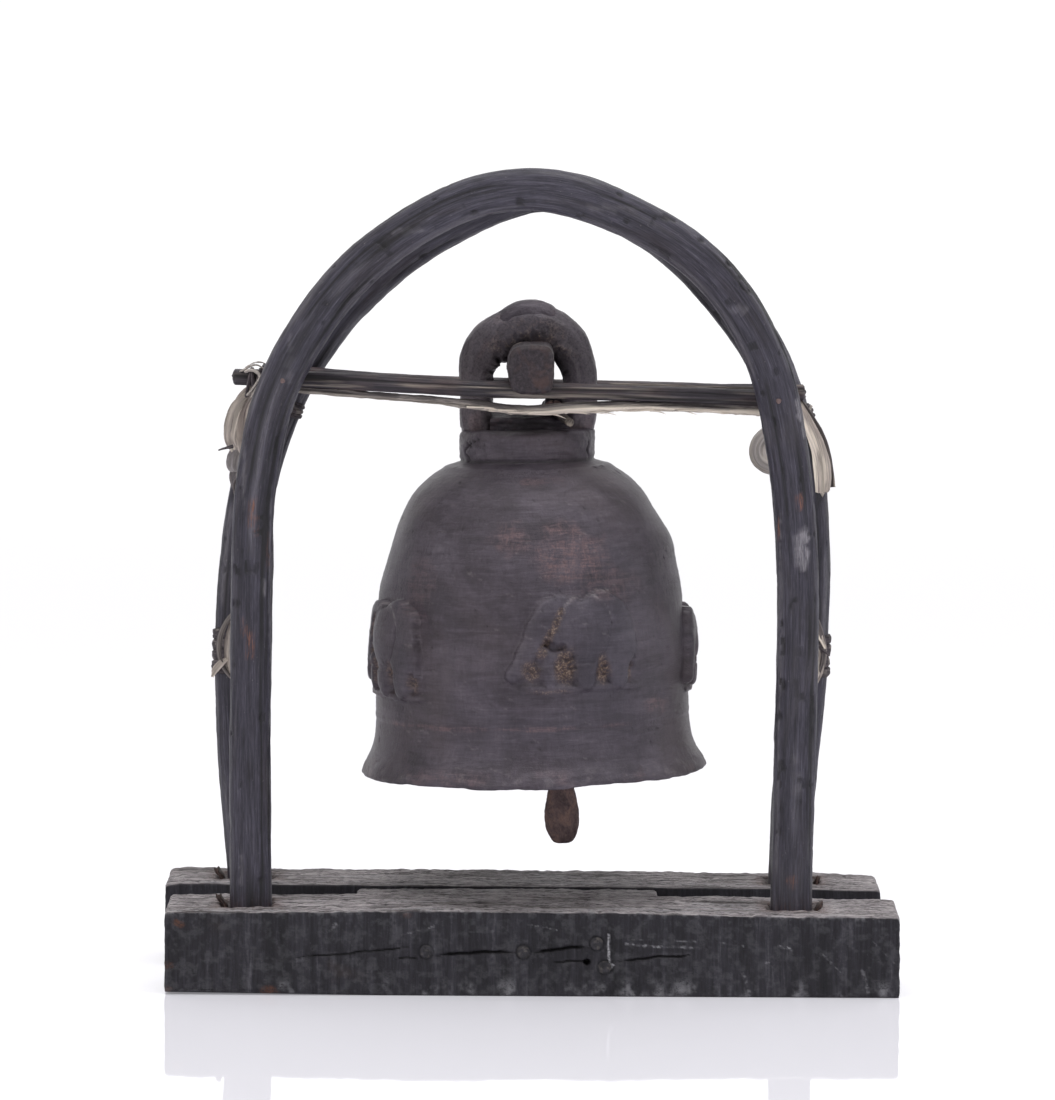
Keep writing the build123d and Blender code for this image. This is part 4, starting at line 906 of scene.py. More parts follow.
def rod(name, line, y, node, seed):
    P, s = curve_through([(x, y + 0.4 * math.sin(x * 0.03 + seed), z) for x, z in line], 0.8, 8.0)
    sw = Sweep(P, s, (0, -1, 0), (0, 0, 1), 44)
    sw.superellipse(4.45, 4.2, 2.8)
    L = sw.local()
    d = 0.25 * fbm(L * (0.03, 0.2, 0.2), seed, 3) + 0.22 * fbm(L * (0.06, 0.9, 0.9), seed + 1, 3)
    g = smooth01(fbm(L * (0.008, 0.7, 0.7) + 30, seed + 2, 2), 0.35, 0.7)
    d -= 0.5 * g
    sw.push(d)
    sw.ends(1.2, 1.2)
    ph = np.broadcast_to(sw.phi, sw.u.shape).reshape(-1)
    front = smooth01(np.cos(ph), 0.1, 0.7)
    x = P[:, 0].repeat(sw.k)
    # painted highlight: a thin pale line along the upper front of the rod stands in for its highlight
    pale = 0.5 * front * bump1(np.sin(ph), 0.25 + 0.25 * np.sin(x * 0.02), 0.07) * smooth01(fbm(L * (0.03, 0, 0), seed + 3, 3), -0.3, 0.3)
    pale = np.maximum(pale, 0.4 * smooth01(fbm(L * (0.02, 0.5, 0.5) + 9, seed + 4, 3), 0.45, 0.9))
    return sw.mesh(name, ROD, "stand", node, "cane", {"pale": pale, "dark": 0.75 * g}, cap_noise=0.8)


rod("rod_front", ROD_F, -36.0, "front_rod", 301)
rod("rod_rear", ROD_R, 35.5, "rear_rod", 311)


def toggle():
    y0, y1 = -50.0, 50.0
    Y = np.linspace(y0, y1, 150)
    # outline: flat sides, crowned top worn down on the left, softly curved underside
    out = [(-7.0, -7.2), (-9.8, -5.4), (-11.2, -1.4), (-12.2, 3.0), (-12.2, 8.0), (-11.4, 12.4), (-9.2, 16.0), (-4.5, 17.7), (0.5, 18.1),
           (6.0, 17.9), (9.8, 16.6), (11.6, 13.6), (12.1, 8.5), (12.1, 2.5), (11.8, -2.0), (10.6, -5.8), (7.5, -7.2)]
    P2, s2 = curve_through(out + [out[0]], 1.0, 0.4)
    P2 = P2[:-1][::-1]
    k = len(P2)
    n = len(Y)
    V = np.zeros((n, k, 3))
    t = (Y - y0) / (y1 - y0)
    grow = 1 - 0.05 * smooth01(np.abs(t - 0.5), 0.3, 0.5)
    V[..., 0] = 1.3 + P2[None, :, 0] * grow[:, None]
    V[..., 1] = Y[:, None]
    V[..., 2] = 310.2 + P2[None, :, 1] * (0.5 + 0.5 * grow[:, None])
    cen = np.array([1.3, 0, 315.0])
    L = np.stack([V[..., 1], V[..., 0] - 1.3, V[..., 2] - 310.2], -1).reshape(-1, 3)
    rad = np.hypot(L[:, 1], L[:, 2] - 4.8)
    d = 0.35 * fbm(L * (0.035, 0.14, 0.14), 321, 3) + 0.16 * fbm(L * (0.08, 0.9, 0.9), 322, 3)
    # the bar is coloured darker in a band where the loop wraps round it
    loop_wrap_band = smooth01(np.abs(L[:, 0]), 13.5, 10.5) * smooth01(np.hypot(L[:, 1], L[:, 2]), 12.5, 13.6)
    d -= 0.15
    endd = smooth01(np.minimum(L[:, 0] - y0, y1 - L[:, 0]), 2.4, 0.0)
    d -= 1.7 * endd ** 2 * 1.0
    V = V.reshape(-1, 3)
    out_dir = np.column_stack([V[:, 0] - cen[0], np.zeros(len(V)), V[:, 2] - cen[2]])
    out_dir /= np.linalg.norm(out_dir, axis=1)[:, None]
    V += out_dir * d[:, None]
    # the loop has worn a round neck in the middle of the bar
    vx, vz = V[:, 0] - 1.3, V[:, 2] - 310.2
    rr = np.hypot(vx, vz)
    lim = 13.25 + 0.15 * fbm(V * 0.3, 326, 2)
    f = np.where(rr > lim, 1 + (lim / rr - 1) * smooth01(np.abs(V[:, 1]), 13.5, 10.8), 1.0)
    V[:, 0], V[:, 2] = 1.3 + vx * f, 310.2 + vz * f
    # the seats over the two rods
    for yr in (-36.0, 35.5):
        m = smooth01(np.abs(V[:, 1] - yr), 6.2, 4.6)
        seat = rod_z(1.3, ROD_F if yr < 0 else ROD_R) + 4.5
        V[:, 2] = np.where(V[:, 2] < seat, V[:, 2] + (seat - V[:, 2]) * m, V[:, 2])
    pale = 0.18 * smooth01(fbm(V * (0.4, 0.05, 0.4), 324, 3), 0.4, 0.8) * smooth01(np.minimum(L[:, 0] - y0, y1 - L[:, 0]), 0.5, 3)
    A = {"gco": L * MM, "pale": pale, "dark": 0.35 * loop_wrap_band}
    quads, tri, count = [ring_quads(n, k)], [], n * k
    extra, add = [], {key: [] for key in A}
    for end in (0, n - 1):
        idx = np.arange(end * k, end * k + k)
        c, prev = V[idx].mean(0), idx
        sgn = -1 if end == 0 else 1
        for m, f in enumerate((0.93, 0.82, 0.66, 0.5, 0.34, 0.17)):
            ring = c + (V[idx] - c) * f
            ring[:, 1] += sgn * 0.25 * (1 - f) + 0.28 * fbm(ring * (0.3, 0.3, 0.3), 325 + m * 0, 3)
            ring[:, 1] = np.clip(ring[:, 1], y0 - 0.6, y1 + 0.6)
            extra.append(ring)
            for key in A:
                mid = A[key][idx].mean(0)
                add[key].append(mid + (A[key][idx] - mid) * f)
            new, j = np.arange(count, count + k), (np.arange(k) + 1) % k
            q = np.stack([prev, prev[j], new[j], new], -1)
            quads.append(q[:, ::-1] if end == 0 else q)
            prev, count = new, count + k
        extra.append(c[None])
        for key in A:
            add[key].append(A[key][idx].mean(0)[None])
        j = (np.arange(k) + 1) % k
        tr = np.stack([prev, prev[j], np.full(k, count)], -1)
        tri.append(tr[:, ::-1] if end == 0 else tr)
        count += 1
    V = np.vstack([V] + extra)
    A = {key: np.concatenate([A[key]] + add[key]) for key in A}
    Q, T = np.vstack(quads), np.vstack(tri)
    # outline now turns anticlockwise in (x, z), which faces -Y along +Y
    Q, T = Q[:, ::-1], T[:, ::-1]
    return make("toggle_bar", V, Q, T, A, BAR, "stand", "toggle_bar")


toggle()

STRIP = [(-140, 305.0), (-108, 303.6), (-65, 300.1), (-40, 298.2), (-14.3, 295.2), (-4, 294.3), (8.5, 294.2), (16, 295.0), (36, 296.2), (57, 296.5),
         (105, 295.0), (135, 293.4)]


def strip():
    pts = [(x, -36.0 - (0.4 * math.sin(x * 0.05)), z) for x, z in STRIP]
    P, s = curve_through(pts, 0.7, 2.0)
    sw = Sweep(P, s, (0, -1, 0), (0, 0, 1), 40)
    w = 1 + 0.12 * fbm(np.column_stack([s * 0.03, s * 0, s * 0]), 331, 3)
    tall = np.interp(P[:, 0], [-140, -108, -60, -25, 10, 60, 135], [1.9, 1.9, 2.0, 2.5, 2.6, 2.3, 2.3])
    sw.superellipse(1.9 * w, tall * w, 2.6)
    L = sw.local()
    x = P[:, 0].repeat(sw.k)
    d = 0.30 * fbm(L * (0.06, 0.9, 0.9), 332, 4) + 0.22 * fbm(L * (0.22, 0.6, 0.6), 333, 3)
    split = smooth01(fbm(L * (0.012, 0.8, 0.8) + 4, 334, 2), 0.25, 0.6)
    d -= 0.55 * split
    low = smooth01(sw.w.reshape(-1), 0.3, -1.2)
    d += low * 0.45 * smooth01(fbm(L * (0.35, 0.2, 0.2), 335, 3), 0.3, 0.9) * smooth01(x, -60, -20)
    sw.push(d)
    sw.ends(1.2, 1.2)
    right = smooth01(x, -38, 40)
    patch = smooth01(fbm(L * (0.035, 0.25, 0.5), 336, 3), -0.35, 0.35)
    pale = np.clip(low * (0.40 + 1.0 * right) * (0.6 + 0.4 * patch) + 0.6 * right * patch * smooth01(sw.w.reshape(-1), 1.9, 0.6), 0, 1)
    dark = 0.6 * split * (1 - 0.5 * right)
    sw.mesh("cane_strip", CANE, "stand", "cane_strip", "cane", {"pale": pale, "dark": dark}, cap_noise=0.8)
    # lifted fibres along its lower edge
    rng = np.random.default_rng(7)
    Vs, Qs, Ts, A, base = [], [], [], [], 0
    for i in range(34):
        x0 = rng.uniform(-58, 120) if i % 3 else rng.uniform(-20, 60)
        ln = rng.uniform(5, 16)
        z0 = np.interp(x0, [p[0] for p in STRIP], [p[1] for p in STRIP]) - rng.uniform(1.0, 2.3)
        y0 = -36 - rng.uniform(0.2, 1.9)
        drop = rng.uniform(-0.3, 1.1) if i % 7 else rng.uniform(1.6, 3.0)
        q = [(x0, y0, z0), (x0 + ln * 0.4, y0 - 0.25, z0 - 0.15), (x0 + ln * 0.75, y0 - 0.3, z0 - drop * 0.5), (x0 + ln, y0 - 0.2, z0 - drop)]
        P, s = curve_through(q, 0.7)
        w = Sweep(P, s, (0, -1, 0), (0, 0, 1), 8)
        taper = 1 - 0.85 * (s / s[-1]) ** 2
        w.superellipse(0.30 * taper + 0.05, 0.42 * taper + 0.05, 2.0)
        V = w.verts()
        n = len(P)
        c = np.vstack([P[0], P[-1]])
        j = (np.arange(8) + 1) % 8
        T = np.vstack([np.stack([j, np.arange(8), np.full(8, n * 8)], -1), np.stack([(n - 1) * 8 + np.arange(8), (n - 1) * 8 + j, np.full(8, n * 8 + 1)], -1)])
        V = np.vstack([V, c])
        Q = ring_quads(n, 8)
        Q, T = Q[:, ::-1], T[:, ::-1]
        Vs.append(V)
        Qs.append(Q + base)
        Ts.append(T + base)
        A.append(V * MM)
        base += len(V)
    V = np.vstack(Vs)
    make("cane_fibres", V, np.vstack(Qs), np.vstack(Ts), {"gco": np.vstack(A), "pale": np.full(len(V), 0.9), "dark": np.zeros(len(V))}, CANE,
         "stand", "cane_strip")


strip()


# ------------------------------------------------------------------ nails through hoops and rods
def nails():
    Vs, Qs, Ts, base = [], [], [], 0
    k = 20
    for x, y, out in ((-123.6, -59.5, -1), (126.0, -59.5, -1), (-122.0, 60.0, 1), (132.0, 60.0, 1)):
        z = rod_z(x)
        prof = [(0.0, 0.35), (0.6, 0.3), (1.1, 0.15), (1.35, -0.1), (1.3, -0.3), (1.2, -0.5), (1.15, -8), (1.1, -19)]
        ph = np.linspace(0, 2 * np.pi, k, endpoint=False)
        V = []
        for r, h in prof[1:]:
            rr = r * (1 + 0.08 * np.sin(3 * ph + x))
            V.append(np.column_stack([x + rr * np.cos(ph), np.full(k, y + out * h), z + rr * np.sin(ph)]))
        n = len(V)
        V = np.vstack(V + [np.array([[x, y + out * 0.4, z]]), np.array([[x, y - out * 19, z]])])
        j = (np.arange(k) + 1) % k
        Q = ring_quads(n, k)
        T = np.vstack([np.stack([j, np.arange(k), np.full(k, n * k)], -1),
                       np.stack([(n - 1) * k + np.arange(k), (n - 1) * k + j, np.full(k, n * k + 1)], -1)])
        if out < 0:
            Q, T = Q[:, ::-1], T[:, ::-1]
        Vs.append(V)
        Qs.append(Q + base)
        Ts.append(T + base)
        base += len(V)
    V = np.vstack(Vs)
    make("rod_nails", V, np.vstack(Qs), np.vstack(Ts), {"gco": V * MM}, NAIL, "stand", "rod_nails")


nails()


# ------------------------------------------------------------------ bell
TILT = math.radians(1.4)
UPV = np.array([-math.sin(TILT), 0, math.cos(TILT)])
RTV = np.array([math.cos(TILT), 0, math.sin(TILT)])
CEN = np.array([0, 0, 267.0])
NECK_R, NECK_H = 34.3, 15.5
OUTER = [(34.9, -0.6), (40.5, -2.6), (48.5, -7), (56, -13.2), (61.4, -20), (68.6, -34.5), (73.6, -50), (77.2, -67), (79.6, -86),
         (80.7, -106), (80.6, -126), (81.2, -138), (82.4, -144.5), (84.6, -150.5), (87.4, -156), (88.5, -158.6)]
INNER = [(80.6, -159.6), (78.4, -150), (76.4, -140), (75.4, -122), (74.6, -100), (72.6, -80), (69.2, -60), (63.4, -40), (56, -24),
         (46.5, -14), (34, -8.6), (26.5, -6.6)]
FIG_H, FIG_AT = [-87.0, -97.5, -97.0, -92.5], [22.0, 99.0, 203.0, 297.0]


def at_bell(r, h, ang):
    """World millimetres for radius r, height h from the shoulder line and bearing ang (radians, anticlockwise from the front)."""
    r, h, ang = np.broadcast_arrays(np.asarray(r, float), np.asarray(h, float), np.asarray(ang, float))
    x, y = r * np.sin(ang), -r * np.cos(ang)
    return CEN + h[..., None] * UPV + x[..., None] * RTV + y[..., None] * np.array([0, 1.0, 0])


def blob(a, b, ca, cb, ra, rb, turn=0.0, flat=0.35):
    """Dome 0..1 inside an ellipse, with a flattish top and a steep side."""
    t = math.radians(turn)
    x, y = (a - ca) * math.cos(t) + (b - cb) * math.sin(t), -(a - ca) * math.sin(t) + (b - cb) * math.cos(t)
    q = np.hypot(x / ra, y / rb)
    return np.where(q < 1, np.sqrt(np.maximum(1 - np.minimum(q, 1) ** 2, 0)) ** (1 - flat), 0)


def tube(a, b, pts, r0, r1):
    d, t = line_dist(a, b, pts)
    r = r0 + (r1 - r0) * t
    return np.sqrt(np.maximum(1 - (d / r) ** 2, 0)), d, t


def elephant(a, b, seed, strong):
    """Relief height in mm, plus paint masks, for figure coordinates a (right) and b (up) about its middle; it faces left."""
    w = 0.9 * fbm(np.column_stack([a * 0.12, b * 0.12, a * 0 + seed]), 401, 3)
    a2, b2 = a + w, b + 0.6 * w
    body = 3.2 * blob(a2, b2, 8.0, 4.0, 17.5, 20.0, 6, 0.74)
    rump = 3.25 * blob(a2, b2, 14.5, 0.5, 11.0, 20.5, -4, 0.74)
    head = 3.2 * blob(a2, b2, -15.0, 11.0, 13.5, 12.0, 20, 0.72)
    ear = 3.75 * blob(a2 + 0.10 * b2, b2, -3.0, 5.5, 12.0, 14.5, -22, 0.78)
    tr, _, _ = tube(a2, b2, [(-21, 14), (-27, 6), (-32, -3), (-36.5, -12), (-40, -16.5)], 8.0, 4.2)
    jaw, _, _ = tube(a2, b2, [(-26, -5), (-20, -8.8), (-13, -6.8), (-7, -2)], 3.6, 3.0)
    leg1 = 3.1 * blob(a2, b2, -3.6, -13.5, 5.6, 12.0, 3, 0.65)
    leg0 = 2.3 * blob(a2, b2, -22.0, -15.5, 3.8, 8.0, 8, 0.65)
    leg2 = 3.1 * blob(a2, b2, 15.0, -13.0, 6.6, 12.0, -3, 0.65)
    tail, _, _ = tube(a2, b2, [(22.5, 10), (25.4, -1), (24.4, -13)], 2.0, 1.5)
    h = np.maximum.reduce([body, rump, head, 2.8 * tr, 2.7 * jaw, leg1, leg0, leg2, 2.0 * tail, ear])
    # a groove sets the ear off from the body
    q = np.hypot((a2 + 3.0) / 13.8, (b2 - 5.5) / 16.3)
    h -= 0.7 * bump1(q, 1.0, 0.045) * (h > 0.5) * smooth01(b2, 16, 8)
    base = 1.3 * smooth01(b2, -26.6, -25.4) * smooth01(b2, -21.5, -23.0) * smooth01(np.abs(a2 + 4), 38, 26)
    h = np.maximum(h, base)
    # the wall round the figure was cut back a little
    near = smooth01(np.hypot(a2 / 40, b2 / 31), 1.05, 0.8)
    h -= 0.35 * near * (h < 0.4)
    d1 = np.exp(-(np.hypot((a2 + 14.0) / 5.2, (b2 + 12.5) / 8.2)) ** 4)
    d0 = np.exp(-(np.hypot((a2 + 31.5) / 4.2, (b2 + 15) / 5.2)) ** 4)
    d2 = np.exp(-(np.hypot((a2 - 5.5) / 3.2, (b2 + 15) / 7.2)) ** 4)
    d3 = np.exp(-(np.hypot((a2 - 22.0) / 2.2, (b2 + 17) / 5.0)) ** 4)
    edge, _, _ = tube(a2, b2, [(-15.5, 15), (-18.5, 8), (-22.5, 1), (-26, -6)], 1.9, 2.8)
    earth = np.clip(np.maximum.reduce([0.85 * d1, 0.65 * d0, 0.85 * d2, 0.45 * d3, 0.6 * edge, 0.35 * bump1(b2, -25.2, 0.8) * smooth01(np.abs(a2 + 22), 14, 6)]), 0, 1)
    rough = np.maximum.reduce([d1, 0.8 * d0, d2, 0.6 * d3, 0.7 * edge])
    # the gaps between legs and behind the trunk are cast back to the wall, then crusted
    h = h * (1 - 0.75 * np.maximum.reduce([d1, d0, d2, d3])) - 0.5 * edge
    ridge = np.maximum(bump1(q, 1.04, 0.05) * smooth01(b2, 8, 14), bump1(b2, 24.0, 1.0) * smooth01(np.abs(a2 - 5), 12, 6))
    # painted shade: the higher the relief stands, the darker and bluer it is coloured
    cool_tint_and_shade = smooth01(h, 1.4, 2.4)
    return h * strong, earth, rough, ridge, cool_tint_and_shade


def bell_body():
    outer, so = curve_through(OUTER, 0.9)
    inner, si = curve_through(INNER[::-1], 2.4)
    top = [(0.01, NECK_H), (8, NECK_H), (16, NECK_H), (24, NECK_H), (29.0, NECK_H), (31.8, NECK_H - 0.2), (33.4, NECK_H - 0.9), (34.2, NECK_H - 2.2)]
    neck = [(NECK_R, h) for h in np.arange(NECK_H - 3.1, 1.0, -0.9)] + [(NECK_R + 0.1, 0.4)]
    lip = [(88.6, -159.4), (88.2, -160.0), (87.2, -160.35), (85.4, -160.4), (83.4, -160.4), (81.8, -160.3), (81.0, -160.0)]
    roof = [(24.0, 8.0), (23.0, 9.3), (21.0, 9.5), (14, 9.5), (7, 9.5), (0.01, 9.5)]
    wall = [(26.0, -4.0), (25.2, 1.0), (24.6, 5.0)]
    prof = np.array(top + neck + [tuple(p) for p in outer] + lip + [tuple(p) for p in inner[::-1]] + wall + roof)
    kind = np.array([0] * len(top) + [1] * len(neck) + [2] * len(outer) + [3] * len(lip) + [4] * len(inner) + [5] * (len(wall) + len(roof)))
    # inner path runs from the rim up to the crown
    n, k = len(prof), 600
    ang = np.linspace(-np.pi, np.pi, k, endpoint=False)
    R, H = np.repeat(prof[:, :1], k, 1), np.repeat(prof[:, 1:], k, 1)
    A = np.broadcast_to(ang, (n, k))
    tan = np.gradient(prof, axis=0)
    tan /= np.linalg.norm(tan, axis=1)[:, None] + 1e-9
    nr, nh = -tan[:, 1], tan[:, 0]          # outward from the path: top goes out, wall goes down
    K = np.repeat(kind[:, None], k, 1)
    unit = np.stack([np.sin(A), -np.cos(A), np.zeros_like(A)], -1)
    S = np.stack([R * unit[..., 0], R * unit[..., 1], H], -1).reshape(-1, 3)
    K1, H1, R1, A1 = K.reshape(-1), H.reshape(-1), R.reshape(-1), A.reshape(-1)
    outside = (K1 <= 2).astype(float)
    fade = np.clip(R1 / 20, 0, 1)
    d = 0.40 * fbm(S * 0.022, 411, 3) * fade + 0.16 * fbm(S * 0.085, 412, 3) * fade
    d += 0.07 * fbm(S * (0.05, 0.05, 1.3), 413, 3) * fade                   # turned lines
    d += 0.05 * fbm(S * 0.9, 414, 2) * fade
    pit = smooth01(fbm(S * 0.32, 415, 3), 1.0, 1.35)
    d -= 0.5 * pit * outside
    # the neck collar: wavy, chipped, cracked at the left and right
    neckm = (K1 == 1) | (K1 == 0) & (R1 > 30)
    d += np.where(neckm, 0.55 * fbm(S * (0.05, 0.05, 0.14), 416, 3) + 0.25 * fbm(S * (0.2, 0.2, 0.5), 417, 3), 0)
    H1 = H1 + np.where((K1 <= 1) & (R1 > 28), 0.8 * fbm(np.column_stack([np.sin(A1) * 3, np.cos(A1) * 3, A1 * 0]), 418, 3) * smooth01(H1, 5, 14), 0)
    dark = 0.55 * pit
    for ca, hz0, hz1, lean, dp in ((-1.12, 0.0, 9.5, 0.045, 2.2), (-0.93, 7.5, 12.5, -0.10, 1.4), (1.12, 2.0, 9.0, 0.03, 1.6)):
        cc = ca + lean * np.sin(H1 * 0.9)
        g = np.exp(-((A1 - cc) * NECK_R / 0.75) ** 2) * smooth01(H1, hz0 - 1, hz0 + 1.5) * smooth01(H1, hz1 + 1.2, hz1 - 1) * (K1 == 1)
        d -= dp * g
        dark = np.maximum(dark, np.clip(1.1 * g, 0, 1))
    seam = bump1(H1, 0.6, 0.8) * (K1 <= 2) * (R1 < 36)
    d -= 0.9 * seam
    dark = np.maximum(dark, 0.7 * seam)
    shelf = bump1(H1, -3.2, 1.0) * (K1 == 2) * (R1 < 48)
    d += 0.5 * shelf
    # raised turning above the lip and worn waves in the lip itself
    d += 0.25 * bump1(H1, -129.5, 1.0) * (K1 == 2) * (0.6 + 0.4 * fbm(np.column_stack([A1 * 1.5, A1 * 0, A1 * 0]), 419, 2))
    d -= 0.22 * bump1(H1, -132.0, 1.0) * (K1 == 2)
    # two flats hammered into the right shoulder and softer dents elsewhere
    for ca, hz, la, lh, dp in ((1.5, -25, 0.25, 5, 0.5), (1.5, -43, 0.30, 9, -1.9), (1.5, -64, 0.25, 8, -0.6), (-1.5, -66, 0.3, 9, -0.9), (-1.4, -40, 0.3, 10, 0.7), (0.8, -75, 0.3, 14, 0.8),
                               (-0.3, -60, 0.4, 16, 0.5), (2.6, -50, 0.4, 14, 1.0), (3.9, -90, 0.4, 16, 0.9)):
        dA = np.mod(A1 - ca + np.pi, 2 * np.pi) - np.pi
        d -= dp * np.exp(-(dA / la) ** 2 - ((H1 - hz) / lh) ** 2) * (K1 == 2)
    wav = fbm(np.column_stack([np.sin(A1) * 2.2, np.cos(A1) * 2.2, A1 * 0]), 420, 3)
    lipm = smooth01(H1, -149, -156) * (K1 >= 2) * (R1 > 76)
    H1 = H1 + 0.8 * wav * lipm
    d += 0.5 * fbm(S * (0.08, 0.08, 0.2), 421, 3) * lipm * (K1 <= 3)
    d += 0.5 * fbm(S * 0.05, 422, 3) * (K1 == 4)
    # the four elephants
    earth, copper, pale, cool_tint_and_shade = np.zeros(len(S)), np.zeros(len(S)), np.zeros(len(S)), np.zeros(len(S))
    for i, deg in enumerate(FIG_AT):
        dA = np.mod(A1 - math.radians(deg) + np.pi, 2 * np.pi) - np.pi
        a, b = dA * 80.3, H1 - FIG_H[i]
        size = (1.0, 0.86, 1.0, 1.0)[i]
        near = (K1 == 2) & (np.abs(a) < 48) & (np.abs(b) < 32)
        h, e, rgh, ridge, cl = elephant(a[near] / size, b[near] / size, 3.7 * i, (1.15, 1.75, 1.1, 1.5)[i])
        # painted shade on the raised figures
        cool_tint_and_shade[near] = np.maximum(cool_tint_and_shade[near], 0.35 * cl)
        lump = fbm(S[near] * 0.55, 423 + i, 3)
        d[near] += h + rgh * (0.9 * lump - 0.25)
        earth[near] = np.maximum(earth[near], e)
        pale[near] = np.maximum(pale[near], 0.42 * ridge * smooth01(lump, -0.2, 0.5))
        dark[near] = np.maximum(dark[near], 0.45 * rgh * smooth01(lump, 0.0, -0.6))
        dark[near] = np.maximum(dark[near], 0.34 * bump1(h, 0.55, 0.55) * (0.6 + 0.4 * smooth01(lump, 0.4, -0.4)))
    # rubbed copper patches, placed by bearing and height
    for ca, hz, la, lh, amt in ((-0.12, -36, 0.22, 9, 0.55), (0.30, -44, 0.30, 15, 0.65), (0.13, -8, 0.22, 2.5, 0.55), (0.93, -122, 0.14, 4.5, 0.55),
                                (-0.56, -131.0, 0.6, 1.3, 0.6), (0.10, -131.0, 0.45, 1.2, 0.5), (-0.85, -60, 0.12, 20, 0.25), (0.55, -60, 0.3, 10, 0.3),
                                (2.2, -60, 0.3, 14, 0.6), (3.6, -30, 0.3, 12, 0.6), (4.4, -120, 0.25, 10, 0.5)):
        dA = np.mod(A1 - ca + np.pi, 2 * np.pi) - np.pi
        q = np.hypot(dA / la, (H1 - hz) / lh) + 0.45 * fbm(S * 0.1, 430, 3)
        copper = np.maximum(copper, amt * smooth01(q, 1.15, 0.45) * (K1 == 2))
    scratch = smooth01(fbm(S * (0.10, 0.10, 0.55) + 0.35 * S[:, [1, 2, 0]] * 0.6, 431, 3), 0.95, 1.2)
    pale = np.maximum(pale, 0.16 * scratch * (K1 == 2))
    lipedge = lipm * (K1 <= 3)
    pale = np.maximum(pale, 0.14 * lipedge * smooth01(fbm(S * 0.25, 432, 3), 0.2, 0.8))
    copper = np.maximum(copper, 0.35 * lipedge * smooth01(fbm(S * 0.06, 433, 3), 0.1, 0.7))
    dark = np.maximum(dark, 0.45 * (K1 >= 4))
    R2 = R1 + d * nr.repeat(k)
    H2 = H1 + d * nh.repeat(k)
    R2 = np.where(fade < 0.01, 0.01, R2)
    H2 = np.maximum(H2, -161.0)
    V = CEN + H2[:, None] * UPV + (R2 * np.sin(A1))[:, None] * RTV + (-R2 * np.cos(A1))[:, None] * np.array([0, 1.0, 0])
    Q = ring_quads(n, k)
    return make("bell_body", V, Q, (), {"gco": S * MM, "copper": copper, "earth": earth, "pale": pale, "cool_tint_and_shade": cool_tint_and_shade, "dark": np.clip(dark, 0, 1)}, BRONZE,
                "bell", "bell_casting")


bell_body()


# ------------------------------------------------------------------ crown loop and saddle
PIV = np.array([1.3, 0.0, 310.2])


LOOP = [(0, 25.0, 9.0), (12, 24.4, 9.5), (22, 23.9, 9.9), (39, 24.9, 10.6), (65, 25.6, 11.1), (90, 26.0, 11.4), (115, 25.7, 11.2), (144, 26.3, 11.6),
        (154, 27.0, 11.0), (166, 27.9, 9.9), (180, 28.5, 8.6)]


